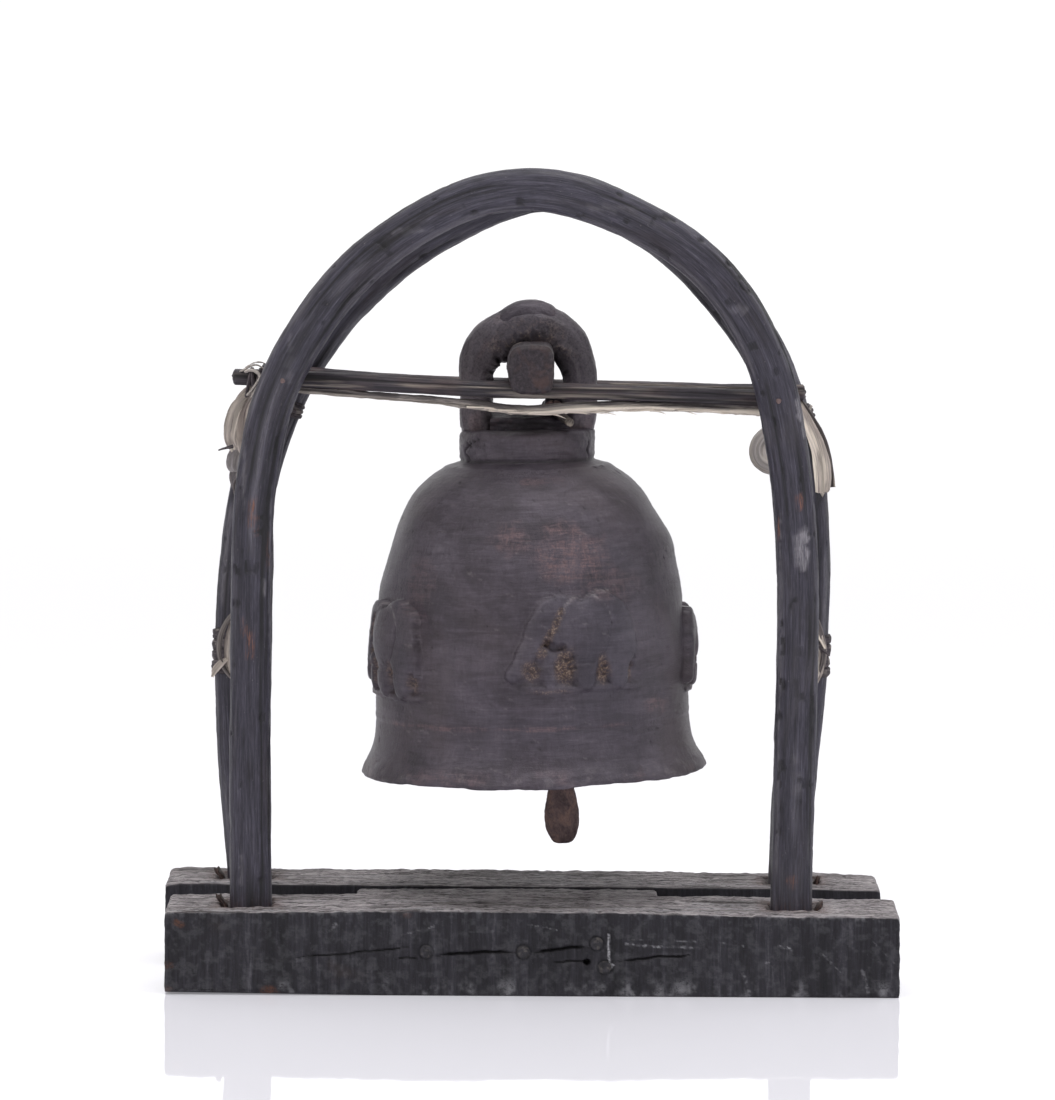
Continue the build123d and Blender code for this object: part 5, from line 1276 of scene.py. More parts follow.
def loop():
    # right leg, over the top, down into the left leg: bearing measured from +X, anticlockwise seen from the front
    pts = [(24.4, 277.5), (25.2, 283), (26.0, 291), (26.0, 301)]
    pts += [(PIV[0] + r * math.cos(math.radians(t)), PIV[2] + r * math.sin(math.radians(t))) for t, r, _ in LOOP]
    pts += [(-26.7, 301), (-26.7, 291), (-26.0, 283), (-25.2, 277.5)]
    P2, s = curve_through(pts, 0.7, 2.0)
    P = np.column_stack([P2[:, 0], P2[:, 0] * 0, P2[:, 1]])
    T = np.gradient(P, axis=0)
    T /= np.linalg.norm(T, axis=1)[:, None]
    N = np.cross(T, (0, 1, 0))                        # outward from the eye
    if np.sum(N[len(N) // 2] * (P[len(P) // 2] - PIV)) < 0:
        N = -N
    sw = Sweep(P, s, N, (0, 1, 0), 84)
    ang = np.degrees(np.arctan2(P[:, 2] - PIV[2], P[:, 0] - PIV[0]))
    ang = np.where(ang < -90, ang + 360, ang)
    thick = np.interp(ang, [q[0] for q in LOOP], [q[2] for q in LOOP])
    thick = np.where(P[:, 2] < 284, np.minimum(thick, 8.2), thick)
    sw.superellipse(thick, np.interp(ang, [-60, 20, 90, 160, 240], [9.2, 9.2, 9.6, 9.2, 9.2]), 2.35)
    L = sw.local()
    V0 = sw.verts()
    ph = np.broadcast_to(sw.phi, sw.u.shape).reshape(-1)
    inner = smooth01(-np.cos(ph), 0.25, 0.85)
    leftin = smooth01(V0[:, 0], -8, -13) * smooth01(V0[:, 2], 331, 322) * smooth01(V0[:, 2], 296, 301)
    topin = smooth01(V0[:, 2], 318, 324)
    d = 0.45 * fbm(L * (0.05, 0.09, 0.09), 441, 3) + 0.20 * fbm(L * (0.3, 0.35, 0.35), 442, 3)
    d += 0.12 * fbm(L * (0.05, 0.9, 0.9), 443, 3)
    jag = fbm(L * (0.30, 0.16, 0.16) + 6, 444, 3)
    d += inner * leftin * 1.3 * jag
    crust = smooth01(-np.cos(ph), -0.55, 0.3) * topin
    lump = fbm(L * (0.38, 0.34, 0.34), 445, 3)
    d += crust * 0.5 * lump * smooth01(-np.cos(ph), 0.9, 0.3)
    d = np.where(inner > 0.4, np.minimum(d, 0.35 + 0.8 * leftin), d)
    d -= 0.30 * smooth01(np.abs(np.sin(ph * 2.5 + 0.6)), 0.75, 1.0)
    sw.push(d)
    # the eye stays clear of the worn neck of the bar
    V1 = sw.verts().reshape(sw.u.shape + (3,))
    rr = np.hypot(V1[..., 0] - PIV[0], V1[..., 2] - PIV[2])
    short = np.maximum(14.0 - rr, 0) * (V1[..., 2] > 303)
    sw.u = sw.u + short
    pale = 0.45 * inner * leftin * smooth01(jag, 0.1, 0.7) + 0.25 * smooth01(fbm(L * (0.06, 0.3, 0.3), 446, 3), 0.5, 0.9)
    pale = np.maximum(pale, 0.22 * crust * smooth01(lump, 0.25, 0.7))
    copper = 0.35 * smooth01(fbm(L * (0.05, 0.12, 0.12) + 8, 447, 3), 0.15, 0.8)
    dark = 0.7 * inner * smooth01(jag, -0.1, -0.7) + 0.22 * inner + 0.26 * crust * smooth01(lump, -0.1, -0.6)
    sw.mesh("bell_loop", BRONZE, "bell", "bell_casting", "bronze",
            {"copper": copper, "earth": 0.4 * crust * smooth01(lump, 0.0, 0.5), "pale": np.maximum(pale, 0.13), "cool_tint_and_shade": 0 * pale + 0.15, "dark": np.clip(dark, 0, 1)})

    # the end of the bent bar, lapped over the top of the loop
    lap = [(58, 24.5), (68, 27.4), (78, 29.9), (90, 30.9), (102, 30.2), (116, 28.2), (132, 26.4), (146, 25.6)]
    P2, s = curve_through([(PIV[0] + r * math.cos(math.radians(q)), PIV[2] + r * math.sin(math.radians(q))) for q, r in lap], 0.7, 1.0)
    P = np.column_stack([P2[:, 0], P2[:, 0] * 0, P2[:, 1]])
    T = np.gradient(P, axis=0)
    T /= np.linalg.norm(T, axis=1)[:, None]
    N = np.cross(T, (0, 1, 0))
    if np.sum(N[len(N) // 2] * (P[len(P) // 2] - PIV)) < 0:
        N = -N
    sw = Sweep(P, s, N, (0, 1, 0), 64)
    t = s / s[-1]
    th = np.interp(t, [0, 0.14, 0.24, 0.5, 0.8, 1.0], [5.0, 7.2, 8.2, 8.4, 8.6, 8.6])
    sw.superellipse(th, np.interp(t, [0, 0.15, 0.5, 0.8, 1], [6.2, 8.0, 8.8, 8.4, 7.0]), 2.35)
    L = sw.local()
    d = 0.40 * fbm(L * (0.06, 0.1, 0.1), 451, 3) + 0.25 * fbm(L * (0.3, 0.35, 0.35), 452, 3)
    V1 = sw.verts()
    sw.push(d)
    V1 = sw.verts().reshape(sw.u.shape + (3,))
    rr = np.hypot(V1[..., 0] - PIV[0], V1[..., 2] - PIV[2])
    sw.u = sw.u + np.maximum(17.0 - rr, 0)
    copper = 0.35 * smooth01(fbm(L * (0.05, 0.12, 0.12), 453, 3), 0.1, 0.8)
    z0 = np.zeros(len(L))
    sw.mesh("bell_loop_lap", BRONZE, "bell", "bell_casting", "bronze", {"copper": copper, "earth": z0, "pale": z0, "cool_tint_and_shade": z0 + 0.35, "dark": z0},
            cap_noise=1.0)

    # the saddle between its legs
    n, k = 70, 60
    X = np.linspace(-19.5, 21.5, n)
    ring = rect_ring(9.0, 9.0, 2.2, 1.1, 1.0, 1.1)
    k = len(ring)
    V = np.zeros((n, k, 3))
    V[..., 0] = X[:, None]
    V[..., 1] = ring[None, :, 0] * -1
    top = 289.6 - 0.155 * ring[None, :, 0] * 1.0
    V[..., 2] = np.where(ring[None, :, 1] > 0, top - (9.0 - ring[None, :, 1]), 281.0 + (ring[None, :, 1] + 9.0) * 0.2)
    # a lump of casting waste fills the back of the eye beside the right leg
    V[..., 2] += np.where(V[..., 2] > 286, 8.6 * smooth01(V[..., 0], 6.3, 9.5) * smooth01(V[..., 1], -2.5, 2.5), 0)
    V = V.reshape(-1, 3)
    c = np.array([1.0, 0, 284])
    o = np.column_stack([V[:, 0] * 0, V[:, 1], (V[:, 2] - 284)])
    o /= np.linalg.norm(o, axis=1)[:, None] + 1e-9
    V += o * (0.5 * fbm(V * 0.12, 455, 3) + 0.3 * fbm(V * 0.45, 456, 3))[:, None]
    roomy = PIV[2] - np.sqrt(np.maximum(14.3 ** 2 - (V[:, 0] - PIV[0]) ** 2, 0))
    V[:, 2] = np.where(V[:, 2] > 287, np.minimum(V[:, 2], roomy), V[:, 2])
    groove = bump1(V[:, 2], 285.6 + 0.5 * np.sin(V[:, 0] * 0.4), 0.5) * (np.abs(V[:, 1]) > 8)
    V -= o * (0.8 * groove)[:, None]
    j = (np.arange(k) + 1) % k
    Q = ring_quads(n, k)
    T3 = np.vstack([np.stack([j, np.arange(k), np.full(k, n * k)], -1), np.stack([(n - 1) * k + np.arange(k), (n - 1) * k + j, np.full(k, n * k + 1)], -1)])
    V = np.vstack([V, V[:k].mean(0)[None], V[-k:].mean(0)[None]])
    z0 = np.zeros(len(V))
    N_, B_ = np.array([0, -1.0, 0]), np.array([0, 0, 1.0])
    if np.dot(np.cross(N_, B_), (1, 0, 0)) < 0:
        Q, T3 = Q[:, ::-1], T3[:, ::-1]
    make("bell_saddle", V, Q, T3, {"gco": V * MM, "copper": 0.4 * smooth01(fbm(V * 0.1, 457, 3), 0.0, 0.6), "earth": z0, "pale": z0, "cool_tint_and_shade": z0,
                                  "dark": 0.30 + 0.4 * np.r_[groove, 0, 0]}, BRONZE, "bell", "bell_casting")


loop()


# ------------------------------------------------------------------ twig, hanger, link, clapper
def rod3(name, pts, r, mat, body, node, slot, seed, step=0.5, k=20, closed=False, rough=0.12, e=2.0, attrs=None, smooth=0.0, up=(0, 1, 0), flat=1.0,
         ends=0.6, cap_noise=0.0):
    """A round or flattened bar along 3-D points; r may vary along it."""
    P, s = curve_through(pts, step, smooth)
    N, B = transport(P, up)
    sw = Sweep(P, s, N, B, k)
    rr = np.interp(s / s[-1], np.linspace(0, 1, len(np.atleast_1d(r))), np.atleast_1d(r)) if np.ndim(r) else np.full(len(s), r)
    sw.superellipse(rr, rr * flat, e)
    L = sw.local()
    sw.push(rough * fbm(L * (0.25, 0.6, 0.6), seed, 3) + rough * 0.8 * fbm(L * (0.9, 1.4, 1.4), seed + 1, 2))
    if ends:
        sw.ends(ends, ends)
    A = {} if attrs is None else attrs(L, P, sw)
    return sw.mesh(name, mat, body, node, slot, A, cap_noise=cap_noise)


rod3("clapper_twig", [(8.6, 15, 294.6), (12.0, 3.5, 292.9), (16.6, -14, 290.2), (21.6, -30.2, 287.4)], [1.9, 2.15, 2.3, 2.2, 2.0], PEG, "bell", "clapper_twig",
     "peg_wood", 461, 0.5, 28, rough=0.14, attrs=lambda L, P, sw: {"pale": 0.5 * smooth01(L[:, 0], 43, 46.5), "dark": 0.45 * smooth01(L[:, 0], 42, 30)},
     cap_noise=0.3)


def hook_points(cx, cz, r, a0, a1, n, plane_y=0.0):
    return [(cx + r * math.cos(t), plane_y, cz + r * math.sin(t)) for t in np.radians(np.linspace(a0, a1, n))]


# hanger: a long narrow wire loop in the XZ plane, over the twig and down through the crown
hw, zt, zb = 4.2, 296.2, 258.5
top_c, bot_c = zt - 4.2, zb + 4.2
hp = [(13 - 0.6, 0.0, zt + 0.02)] + hook_points(13, top_c, hw, 95, 178, 5)[0:0]
hp = hook_points(13, top_c, hw, 92, 178, 6) + [(13 - hw, 0, 286), (13 - hw, 0, 275), (13 - hw, 0, 266)]
hp += hook_points(13, bot_c, hw, 182, 358, 11) + [(13 + hw, 0, 266), (13 + hw, 0, 275), (13 + hw, 0, 286)] + hook_points(13, top_c, hw, 2, 88, 6)
rod3("clapper_hanger", hp, 1.4, IRON, "bell", "clapper_hanger", "iron", 471, 0.4, 20, rough=0.13, up=(0, 1, 0), ends=0.5)

# link: an upright oval wire ring in the YZ plane
lp = [(13.0, 4.9 * math.cos(t) * (1.0), 253.0 + 8.5 * math.sin(t)) for t in np.radians(np.linspace(94, 446, 33))]
rod3("clapper_link", lp, 1.4, IRON, "clapper_link", "clapper_link", "iron", 475, 0.4, 20, rough=0.13, up=(1, 0, 0), ends=0.5)

# the clapper's eye, then its shank and leaf
ep = [(13 + 5.4 * math.cos(t), 0.0, 242.5 + 5.4 * math.sin(t)) for t in np.radians(np.linspace(-84, 264, 33))]
rod3("clapper_eye", ep, 1.8, IRON, "clapper", "clapper_tongue", "iron", 481, 0.4, 22, rough=0.15, up=(0, 1, 0), ends=0.5)


def clapper():
    lean = math.radians(2.05)
    ax = np.array([math.sin(lean), 0, -math.cos(lean)])
    prof = [(2.6, -1.2), (3.4, 0.8), (3.5, 12), (3.7, 40), (4.2, 85), (4.9, 115), (5.9, 137), (7.4, 146), (8.8, 155.0), (8.2, 160.3), (6.4, 166.0),
            (4.4, 169.3)]
    q, s = curve_through([(h, r) for r, h in prof], 0.6, 0.6)
    P = np.array([13.0, 0, 237.6]) + q[:, :1] * ax
    sw = Sweep(P, q[:, 0], (1, 0, 0) - ax * ax[0], (0, -1, 0), 48)
    leaf = smooth01(q[:, 0], 118, 150)
    sw.superellipse(q[:, 1] * (1 + 0.04 * leaf), q[:, 1] * (1 - 0.34 * leaf), 2.3)
    L = sw.local()
    d = 0.35 * fbm(L * (0.05, 0.2, 0.2), 491, 3) + 0.28 * fbm(L * (0.18, 0.45, 0.45), 492, 3) + 0.14 * fbm(L * (0.7, 1.1, 1.1), 493, 2)
    sw.push(np.minimum(d, 0.9) * smooth01(L[:, 0], -1, 4))
    sw.ends(1.2, 1.6)
    sw.mesh("clapper_shank", IRON, "clapper", "clapper_tongue", "iron", cap_noise=0.4)


clapper()


# ------------------------------------------------------------------ bark collars, ties and strips
def hoop_point(C, z, side):
    """The hoop's centre and direction at height z on one side (-1 left, 1 right)."""
    P2, s = curve_through(C, 0.9, 7.0)
    T = np.gradient(P2, axis=0)
    T /= np.linalg.norm(T, axis=1)[:, None]
    m = (P2[:, 0] * side > 0)
    idx = np.where(m)[0][np.argmin(np.abs(P2[m][:, 1] - z))]
    t = T[idx] if T[idx][1] > 0 else -T[idx]
    return np.array([P2[idx, 0], 50.0, P2[idx, 1]]), np.array([t[0], 0, t[1]])


def lashing(name, node, z, side, length, a, b, thick, turns, seed, bulge=0.0, mat=None, relief=1.0):
    """A strip wound several times round the rear hoop: one closed tube with the turns cut into its outside."""
    c, T = hoop_point(REAR_C, z, side)
    N = np.cross(T, (0, 1, 0))
    if N[0] * side < 0:
        N = -N
    n, k = max(24, int(length / 0.45)), 110
    s = np.linspace(-length / 2, length / 2, n)
    sw = Sweep(c + s[:, None] * T, s, N, (0, 1, 0), k)
    sw.superellipse(a + thick, b + thick, 3.0)
    L = sw.local()
    ph = np.broadcast_to(sw.phi, sw.u.shape).reshape(-1)
    pitch = length / turns
    lead = L[:, 0] / pitch + ph / (2 * np.pi) + 0.10 * fbm(np.column_stack([np.cos(ph) * 1.2, np.sin(ph) * 1.2, L[:, 0] * 0.08]), seed, 3)
    cell = np.floor(lead)
    fr = lead - cell
    d = 0.85 * np.sin(np.pi * np.clip(fr, 0, 1)) ** 0.6 - 0.45
    d += 0.45 * _hash(cell.astype(np.int64), 3, 5, seed)
    d *= relief
    gap = np.maximum(bump1(fr, 0.0, 0.07), bump1(fr, 1.0, 0.07))
    d -= 0.55 * gap
    d += 0.25 * fbm(np.column_stack([ph * 3.0, L[:, 0] * 0.9, ph * 0]), seed + 1, 3) + 0.3 * fbm(L * 0.12, seed + 2, 3)
    out = smooth01(np.cos(ph), 0.3, 1.0)
    d += bulge * out * bump1(L[:, 0], 0, length * 0.35)
    e = smooth01(np.minimum(L[:, 0] + length / 2, length / 2 - L[:, 0]), 1.6, 0.0)
    d -= 0.9 * e
    sw.push(d)
    pale = 0.7 * smooth01(fbm(np.column_stack([ph * 2.0, cell * 3.1, L[:, 0] * 0.25]), seed + 3, 3), 0.15, 0.8)
    dark = np.clip(0.85 * gap + 0.4 * e, 0, 1)
    # wound fibre runs round the hoop, so the straightened coordinates turn with it
    G = np.column_stack([ph * 14.0, L[:, 0], np.hypot(L[:, 1], L[:, 2])])
    V = sw.verts()
    Q = ring_quads(n, k)
    if np.dot(np.cross(sw.N[0], sw.B[0]), T) < 0:
        Q = Q[:, ::-1]
    # close the ends down onto the hoop with a lip
    inner = []
    cnt = n * k
    quads = [Q]
    for end, row in ((0, 0), (1, n - 1)):
        base = c + s[row] * T
        Vr = V[row * k:(row + 1) * k]
        ring = base + (Vr - base) * ((a - 0.6) / (a + thick))
        inner.append(ring)
        j = (np.arange(k) + 1) % k
        prev, new = np.arange(row * k, row * k + k), np.arange(cnt, cnt + k)
        q = np.stack([prev, prev[j], new[j], new], -1)
        flip = (end == 0) != (np.dot(np.cross(sw.N[0], sw.B[0]), T) < 0)
        quads.append(q[:, ::-1] if flip else q)
        cnt += k
    a0, a1 = np.arange(n * k, n * k + k), np.arange(n * k + k, n * k + 2 * k)
    j = (np.arange(k) + 1) % k
    q = np.stack([a0, a0[j], a1[j], a1], -1)
    if np.dot(np.cross(sw.N[0], sw.B[0]), T) > 0:
        q = q[:, ::-1]
    quads.append(q)
    V = np.vstack([V] + inner)
    rep = [np.r_[x, x[:k], x[-k:]] for x in (pale, dark)]
    G = np.vstack([G, G[:k], G[-k:]])
    make(name, V, np.vstack(quads), (), {"gco": G * MM, "pale": rep[0] * (0.25 if mat else 1), "dark": np.clip(rep[1], 0, 1)}, mat or BARK, "stand", node)


lashing("left_collar", "left_collar", 293, -1, 9.0, 12.0, 10.2, 0.7, 3.6, 501, mat=BARK_DARK, relief=0.6)
lashing("right_collar", "right_collar", 285, 1, 11.0, 12.0, 10.2, 1.0, 4.2, 511, mat=BARK_DARK, relief=0.8)
lashing("left_leg_tie", "left_leg_tie", 163, -1, 24.0, 12.2, 10.2, 0.9, 4.3, 521, mat=BARK_DARK, relief=0.7)
lashing("right_leg_tie", "right_leg_tie", 162, 1, 22.0, 12.2, 10.2, 0.9, 3.7, 531, mat=BARK_DARK, relief=0.7)


def rod_wrap():
    """Three thin turns of fibre round the rod's left end, and their loose ends."""
    for i, (x, lean, r) in enumerate(((-141.6, 0.16, 0.85), (-139.4, -0.10, 0.95), (-137.4, 0.22, 0.8))):
        q = []
        for t in np.radians(np.linspace(0, 360, 25)):
            cy, cz = math.cos(t), math.sin(t)
            n = (abs(cy) ** 3 + abs(cz) ** 3) ** (-1 / 3)
            q.append((x + lean * 8 * cz * n, -36 + 5.6 * cy * n, 307.5 + 6.8 * cz * n))
        rod3("rod_wrap_%d" % i, q, r, BARK_DARK, "stand", "rod_end_wrap", "bark", 541 + i, 0.5, 12, rough=0.22, up=(1, 0, 0), ends=0.3,
             attrs=lambda L, P, sw: {"pale": 0.35 * smooth01(fbm(L * 0.3, 545, 3), 0.0, 0.6), "dark": 0 * L[:, 0]})
    loose = [([(-145.5, -38, 312.8), (-141.4, -41, 316.4), (-137.0, -40, 318.0), (-132.5, -37, 316.6)], 0.30),
             ([(-146.5, -38.5, 313.0), (-142.0, -40.5, 315.2), (-138.2, -40.5, 316.6), (-133.5, -39, 314.0)], 0.42),
             ([(-143.8, -41, 313.0), (-139.6, -42.0, 313.9), (-136.0, -42, 311.0), (-137.8, -42.0, 304.5), (-140.2, -41.5, 300.0)], 0.8),
             ([(-142.5, -41.5, 301.0), (-138.8, -42.4, 305.5), (-135.2, -42.4, 311.5)], 0.7)]
    for i, (q, r) in enumerate(loose):
        rod3("rod_wrap_end_%d" % i, q, r, BARK_GREY, "stand", "rod_end_wrap", "bark", 551 + i, 0.4, 10, rough=0.12, up=(0, 1, 0), ends=0.3,
             attrs=lambda L, P, sw: {"pale": 0.3 + 0 * L[:, 0], "dark": 0 * L[:, 0]})


rod_wrap()


def strip3(name, node, pts, width, thick, side, seed, pale_amt=0.4, fray=(0.0, 1.0), curl=0.0, taper=(1.0, 1.0), step=0.5, split=0.6, k=64):
    """A flat bark strip along a 3-D path; its face is turned by 'side', its ends torn into strands."""
    P, s = curve_through(pts, step, 1.0)
    N, B = transport(P, side)
    sw = Sweep(P, s, N, B, k)
    t = s / s[-1]
    wid = np.interp(t, np.linspace(0, 1, len(np.atleast_1d(width))), np.atleast_1d(width)) if np.ndim(width) else np.full(len(s), float(width))
    wid = wid * np.interp(t, [0, 0.12, 0.88, 1], [taper[0], 1, 1, taper[1]])
    wid = wid * (1 + 0.06 * fbm(np.column_stack([s * 0.12, s * 0, s * 0]), seed, 3))
    sw.superellipse(thick / 2, wid / 2, 5.0)
    L = sw.local()
    # strands along the length, a curl across the width
    strand = fbm(np.column_stack([L[:, 0] * 0.02, L[:, 2] * 0.9, L[:, 0] * 0]), seed + 1, 3)
    cut = smooth01(strand, 0.25, 0.6) * split
    d = 0.22 * strand + 0.15 * fbm(L * (0.1, 0.6, 0.5), seed + 2, 3) - 0.45 * cut
    sw.u = sw.u + np.sign(sw.u) * (d.reshape(sw.u.shape)) * smooth01(np.abs(sw.u), 0.0, thick * 0.3)
    sw.u = sw.u + curl * ((sw.w / (wid[:, None] / 2)) ** 2 - 0.3)
    # torn ends: each strand stops in its own place
    V = sw.verts()
    T = np.gradient(P, axis=0)
    T /= np.linalg.norm(T, axis=1)[:, None]
    e0 = smooth01(t, 0.16, 0.0).repeat(k)
    e1 = smooth01(t, 0.84, 1.0).repeat(k)
    jag = fbm(np.column_stack([L[:, 2] * 0.55, L[:, 2] * 0, L[:, 1] * 0]), seed + 3, 3)
    V += T.repeat(k, 0) * (jag * (e1 * fray[1] - e0 * fray[0]))[:, None]
    pale = np.clip(pale_amt * (0.4 + smooth01(strand, -0.3, 0.3)) + 0.5 * np.maximum(e0 * (fray[0] > 0), e1 * (fray[1] > 0)) * smooth01(jag, -0.3, 0.3), 0, 1)
    dark = np.clip(0.75 * cut, 0, 1)
    # write through the sweep's own mesh method with edited vertices
    sw.verts = lambda V=V: V
    return sw.mesh(name, BARK, "stand", node, "bark", {"pale": pale, "dark": dark}, cap_scales=(0.7, 0.4, 0.15))


FACE = (0.10, -1.0, 0.12)                               # strips that show their flat side to the front
# left: one broad strip from under the rod, folded lobes and darker rags below it
strip3("left_bark_strip", "left_bark_strip", [(-134.5, -31, 306.0), (-140.5, -31, 300.8), (-144.3, -30, 294.5), (-145.6, -28, 287.0), (-145.6, -26, 279.0),
                                              (-144.8, -22, 270.5)], [6, 10, 12.5, 11.5, 10, 9], 2.4, FACE, 551, 0.35, (0.3, 2.5), -1.3)
strip3("left_bark_lobe", "left_bark_strip", [(-142.6, -31.8, 301.5), (-148.4, -33, 294.8), (-151.0, -33.5, 286.5), (-151.7, -32.0, 278.5), (-149.6, -28, 273.2)],
       [3, 5.5, 6.5, 6.0, 4.0], 1.7, (0.25, -1.0, 0.1), 556, 0.5, (0.5, 1.6), 0.6)
strip3("left_bark_inner", "left_bark_strip", [(-137.4, -32.4, 302.5), (-140.4, -33.4, 294.0), (-141.6, -32.4, 284.5), (-141.0, -28, 276.0)],
       [3, 4, 4, 3], 1.4, (-0.2, -1.0, 0.1), 558, 0.75, (0.5, 1.2), 0.4)


def strip_in(mat, *args, **kw):
    """One strip in another bark colour."""
    ob = strip3(*args, **kw)
    ob.data.materials.clear()
    ob.data.materials.append(mat)
    return ob


strip_in(BARK_GREY, "left_bark_rag", "left_bark_strip", [(-145.0, -24, 276.5), (-148.6, -21, 269.5), (-149.6, -15, 263.5), (-148.6, -5, 260.5), (-149.4, 6, 260.5)],
         [7, 9.5, 9, 7, 5], 1.9, FACE, 561, 0.1, (1.0, 1.2), 1.2)
strip_in(BARK_DARK, "left_bark_rag_low", "left_bark_strip", [(-148.8, 1.5, 261.0), (-151.6, 12, 257.0), (-152.6, 25, 251.0), (-151.0, 41.5, 243.0)],
         [5, 6.5, 6.5, 4], 1.8, (-0.2, -1.0, 0.2), 566, 0.05, (1.4, 2.0), 0.8)
rod3("left_bark_thorn", [(-149.8, -34, 274.8), (-153.6, -35, 274.0), (-157.4, -35.2, 272.8)], [1.0, 0.7, 0.25], BARK_DARK, "stand", "left_bark_strip", "bark",
     571, 0.3, 10, rough=0.08, ends=0.2, attrs=lambda L, P, sw: {"pale": 0 * L[:, 0], "dark": 0 * L[:, 0]})

# right: a curled tail, pale inside and dark behind, and a folded paddle behind the front leg
strip3("right_bark_tail", "right_bark_tail", [(140.0, 39.0, 294.0), (140.6, 34.0, 293.6), (142.2, 30.4, 290.4), (145.6, 29, 283.5), (149.4, 28, 275.0), (151.9, 26.5, 266.0), (152.9, 25, 257.5),
                                              (152.9, 24, 248.3)], [4, 5, 6.5, 8, 9, 9, 7.5], 1.5, (-0.35, -0.55, 0.8), 576, 0.75, (0.5, 2.0), 1.3)
strip_in(BARK_DARK, "right_bark_back", "right_bark_tail", [(141.4, 39.0, 294.4), (142.6, 34.8, 293.6), (144.6, 32.4, 290.6), (149.3, 32, 283.0), (153.8, 31, 272.6), (156.4, 29.5, 261.5), (157.6, 28.5, 251.4)],
         [3.5, 4, 5, 5, 4.6, 4.4], 1.8, (-0.8, -0.25, 0.6), 581, 0.1, (0.5, 0.2), 0.5)
for i, (q, r) in enumerate((([(140.5, 38.5, 294.0), (145.0, 37.5, 289.0), (149.8, 34.0, 284.0), (152.6, 31.5, 278.0)], 0.8),
                            ([(147.5, 38.0, 293.5), (144.6, 37.0, 288.0), (143.0, 32.5, 284.5)], 0.7),
                            ([(139.8, 37.0, 290.5), (144.8, 37.0, 286.5), (150.5, 36.0, 284.5)], 0.6))):
    rod3("right_bark_knot_%d" % i, q, r, BARK_GREY, "stand", "right_bark_tail", "bark", 586 + i, 0.4, 12, rough=0.15, ends=0.3,
         attrs=lambda L, P, sw: {"pale": 0.4 + 0 * L[:, 0], "dark": 0 * L[:, 0]})
strip_in(BARK_GREY, "right_bark_loop", "right_bark_loop", [(131.0, 40.5, 285.0), (132.5, 26, 284.0), (132.5, 12, 282.0), (129.0, 3.5, 280.6), (123.2, 0, 278.8),
                                                         (119.2, -1.5, 273.4), (119.9, -2.2, 268.4), (126.0, -1.5, 265.2), (131.5, 3.5, 266.0),
                                                         (134.0, 14, 270.0), (134.0, 28, 275.0), (132.5, 40.5, 280.0)],
         [6, 7, 8, 9.4, 10.4, 11.0, 11.0, 10.2, 8.5, 7.5, 7, 6], 3.4, (1.0, 0.0, 0.1), 591, 0.25, (0.3, 0.3), -1.2, (1.0, 1.0))

# ties on the legs: dark bowed strips with pale split edges and a frayed tan end
strip_in(BARK_DARK, "left_tie_bow", "left_leg_tie", [(-150.6, 40.5, 176.0), (-150.8, 35.5, 183.5), (-153.0, 30.5, 184.0), (-157.0, 28, 179.0), (-160.2, 26, 170.5), (-160.0, 26, 161.5),
                                                    (-157.2, 28, 154.5), (-153.0, 30.5, 149.5), (-150.8, 35.5, 149.0), (-150.6, 40.5, 154.0)],
         [3, 3, 4, 5, 5.6, 5.2, 4.4, 3.4, 3, 3], 1.4, (0.2, -1.0, -0.4), 601, 0.1, (0.2, 0.2), 0.8)
strip3("left_tie_split", "left_leg_tie", [(-151.0, 40.0, 176.0), (-151.6, 34.0, 181.5), (-153.4, 29.6, 179.0), (-155.0, 27.5, 172.0), (-155.8, 27, 164.0), (-155.0, 27.5, 156.0), (-152.6, 28.5, 149.0)],
       [2.2, 2.6, 3.0, 3.4, 3.2, 3.0, 2.0], 1.1, (-0.3, -1.0, -0.4), 606, 0.9, (0.6, 1.4), -0.5)
strip3("left_tie_fray", "left_leg_tie", [(-156.2, 26, 160.5), (-159.4, 24.5, 158.0), (-161.6, 24, 155.6), (-163.6, 23.6, 152.2)], [2.0, 3.6, 3.8, 2.2], 1.1, FACE, 611, 0.8,
       (0.2, 3.2), 0.3)
strip_in(BARK_DARK, "right_tie_bow", "right_leg_tie", [(148.6, 40.5, 176.0), (148.8, 35.5, 183.0), (150.4, 30.5, 183.4), (152.8, 28, 177.0), (154.6, 27, 169.0), (154.4, 27, 161.0), (151.6, 29.5, 152.5),
          (149.6, 34.5, 151.0), (148.8, 40.5, 155.0)], [2.4, 2.6, 3.4, 4.0, 4.6, 4.2, 3.2, 2.6, 2.4], 1.3, (-0.2, -1.0, -0.4), 616, 0.15, (0.2, 0.2), 0.8)
strip3("right_tie_split", "right_leg_tie", [(150.2, 28, 178.0), (152.6, 26.5, 173.2), (154.6, 25.5, 168.6)], [1.8, 2.8, 1.4], 1.0, FACE, 621, 0.8, (0.5, 1.5), 0.3)
strip3("right_tie_curl", "right_leg_tie", [(150.8, 27.4, 167.0), (152.5, 26.4, 160.0), (152.4, 27.2, 154.5), (151.0, 29.5, 149.8)], [2.0, 3.4, 3.2, 1.6], 1.0, FACE, 626, 0.9,
       (0.8, 1.5), 0.4)
rod3("right_tie_thorn", [(153.0, 25.5, 167.5), (155.4, 25, 165.6), (157.6, 24.8, 163.6)], [0.9, 0.7, 0.25], BARK_DARK, "stand", "right_leg_tie", "bark", 631, 0.3, 10,
     rough=0.06, ends=0.2, attrs=lambda L, P, sw: {"pale": 0 * L[:, 0], "dark": 0 * L[:, 0]})


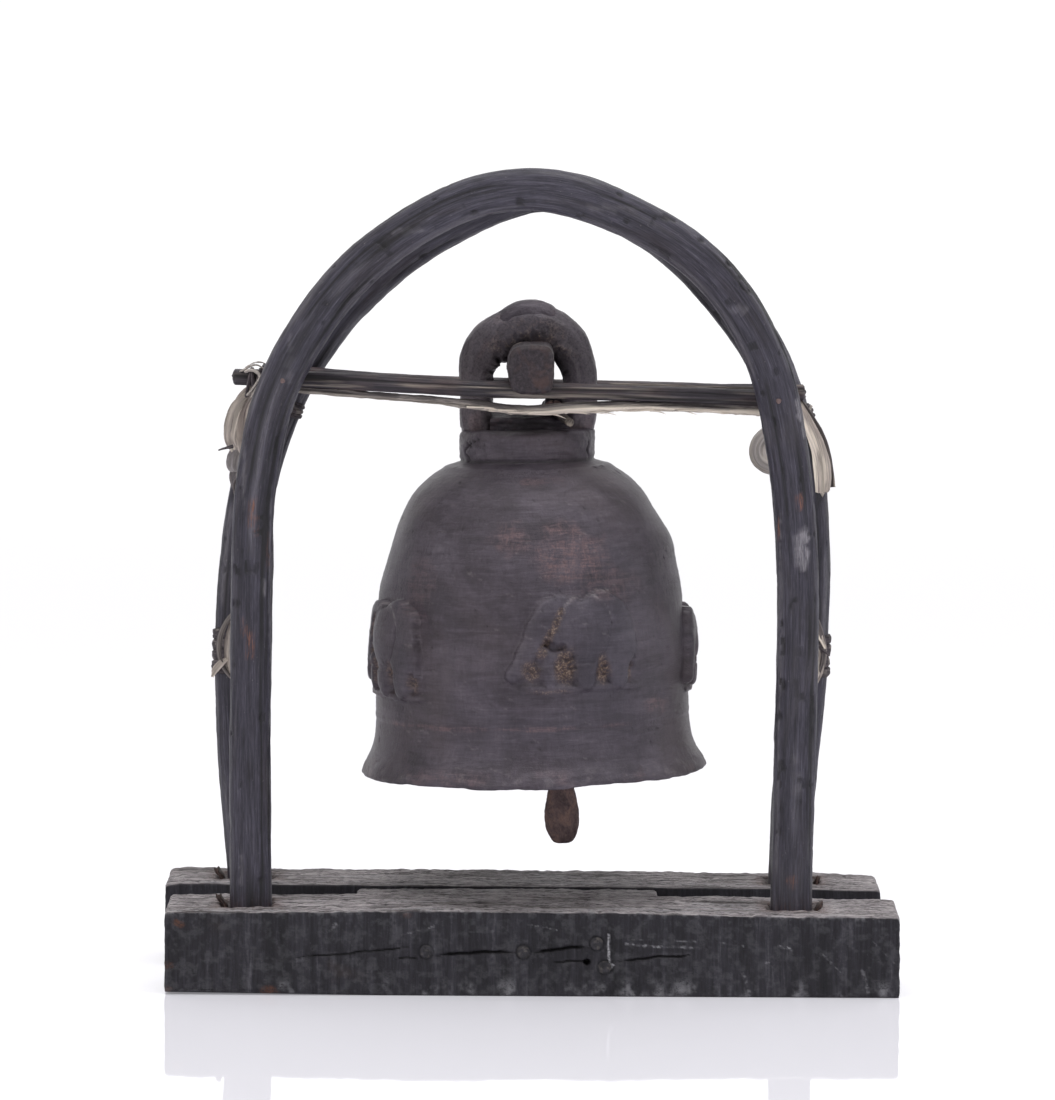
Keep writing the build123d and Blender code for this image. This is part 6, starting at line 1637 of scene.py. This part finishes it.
# ------------------------------------------------------------------ studio
def stage_floor():
    bpy.ops.mesh.primitive_plane_add(size=1, location=(0, 0, 0))
    f = bpy.context.active_object
    f.name = "studio_floor"
    f.scale = (24, 24, 1)
    m = bpy.data.materials.new("studio_floor_look")
    m.use_nodes = True
    t = m.node_tree
    b = t.nodes["Principled BSDF"]
    b.inputs["Base Color"].default_value = (0.80, 0.79, 0.84, 1)
    b.inputs["Roughness"].default_value = 0.03
    b.inputs["IOR"].default_value = 1.30
    b.inputs["Emission Color"].default_value = (0.955, 0.94, 1.0, 1)
    b.inputs["Emission Strength"].default_value = 0.215
    f.data.materials.append(m)


def world():
    w = bpy.data.worlds.new("studio")
    bpy.context.scene.world = w
    w.use_nodes = True
    t = w.node_tree
    bg = t.nodes["Background"]
    tc = t.nodes.new("ShaderNodeTexCoord")
    sep = t.nodes.new("ShaderNodeSeparateXYZ")
    t.links.new(tc.outputs["Generated"], sep.inputs[0])
    r = t.nodes.new("ShaderNodeMapRange")
    r.interpolation_type = "SMOOTHSTEP"
    t.links.new(sep.outputs["Y"], r.inputs["Value"])
    r.inputs["From Min"].default_value = 0.25
    r.inputs["From Max"].default_value = 0.62
    r.inputs["To Min"].default_value = 0.20
    r.inputs["To Max"].default_value = 1.06
    t.links.new(r.outputs["Result"], bg.inputs["Strength"])
    bg.inputs["Color"].default_value = (1.0, 1.0, 1.0, 1)


def area(name, loc, aim, size, energy, color=(1, 1, 1)):
    d = bpy.data.lights.new(name, "AREA")
    d.shape = "RECTANGLE"
    d.size, d.size_y = size
    d.energy = energy
    d.color = color
    o = bpy.data.objects.new(name, d)
    bpy.context.scene.collection.objects.link(o)
    o.location = loc
    o.rotation_euler = (Vector(aim) - Vector(loc)).to_track_quat("-Z", "Y").to_euler()
    return o


stage_floor()
world()
area("soft_top", (0.1, -0.35, 1.9), (0, 0, 0.15), (1.8, 1.4), 26)
area("soft_left", (-1.7, -1.2, 1.0), (0, 0, 0.2), (1.0, 1.4), 13, (1.0, 0.99, 0.98))
area("soft_right", (1.9, -0.8, 0.9), (0, 0, 0.22), (0.9, 1.5), 13, (0.96, 0.97, 1.0))

cam_data = bpy.data.cameras.new("camera")
cam_data.sensor_width = 36.0
cam_data.lens = 5700 / 1100 * 36.0
cam_data.clip_start, cam_data.clip_end = 0.1, 60
cam = bpy.data.objects.new("camera", cam_data)
bpy.context.scene.collection.objects.link(cam)
cam.location = (0, -2.925, 0.447)
cam.rotation_euler = (Matrix.Rotation(math.radians(90 - 4.435), 3, "X") @ Matrix.Rotation(math.radians(0.3), 3, "Z")).to_euler()
bpy.context.scene.camera = cam

sc = bpy.context.scene
sc.view_settings.view_transform = "Standard"
sc.view_settings.look = "None"
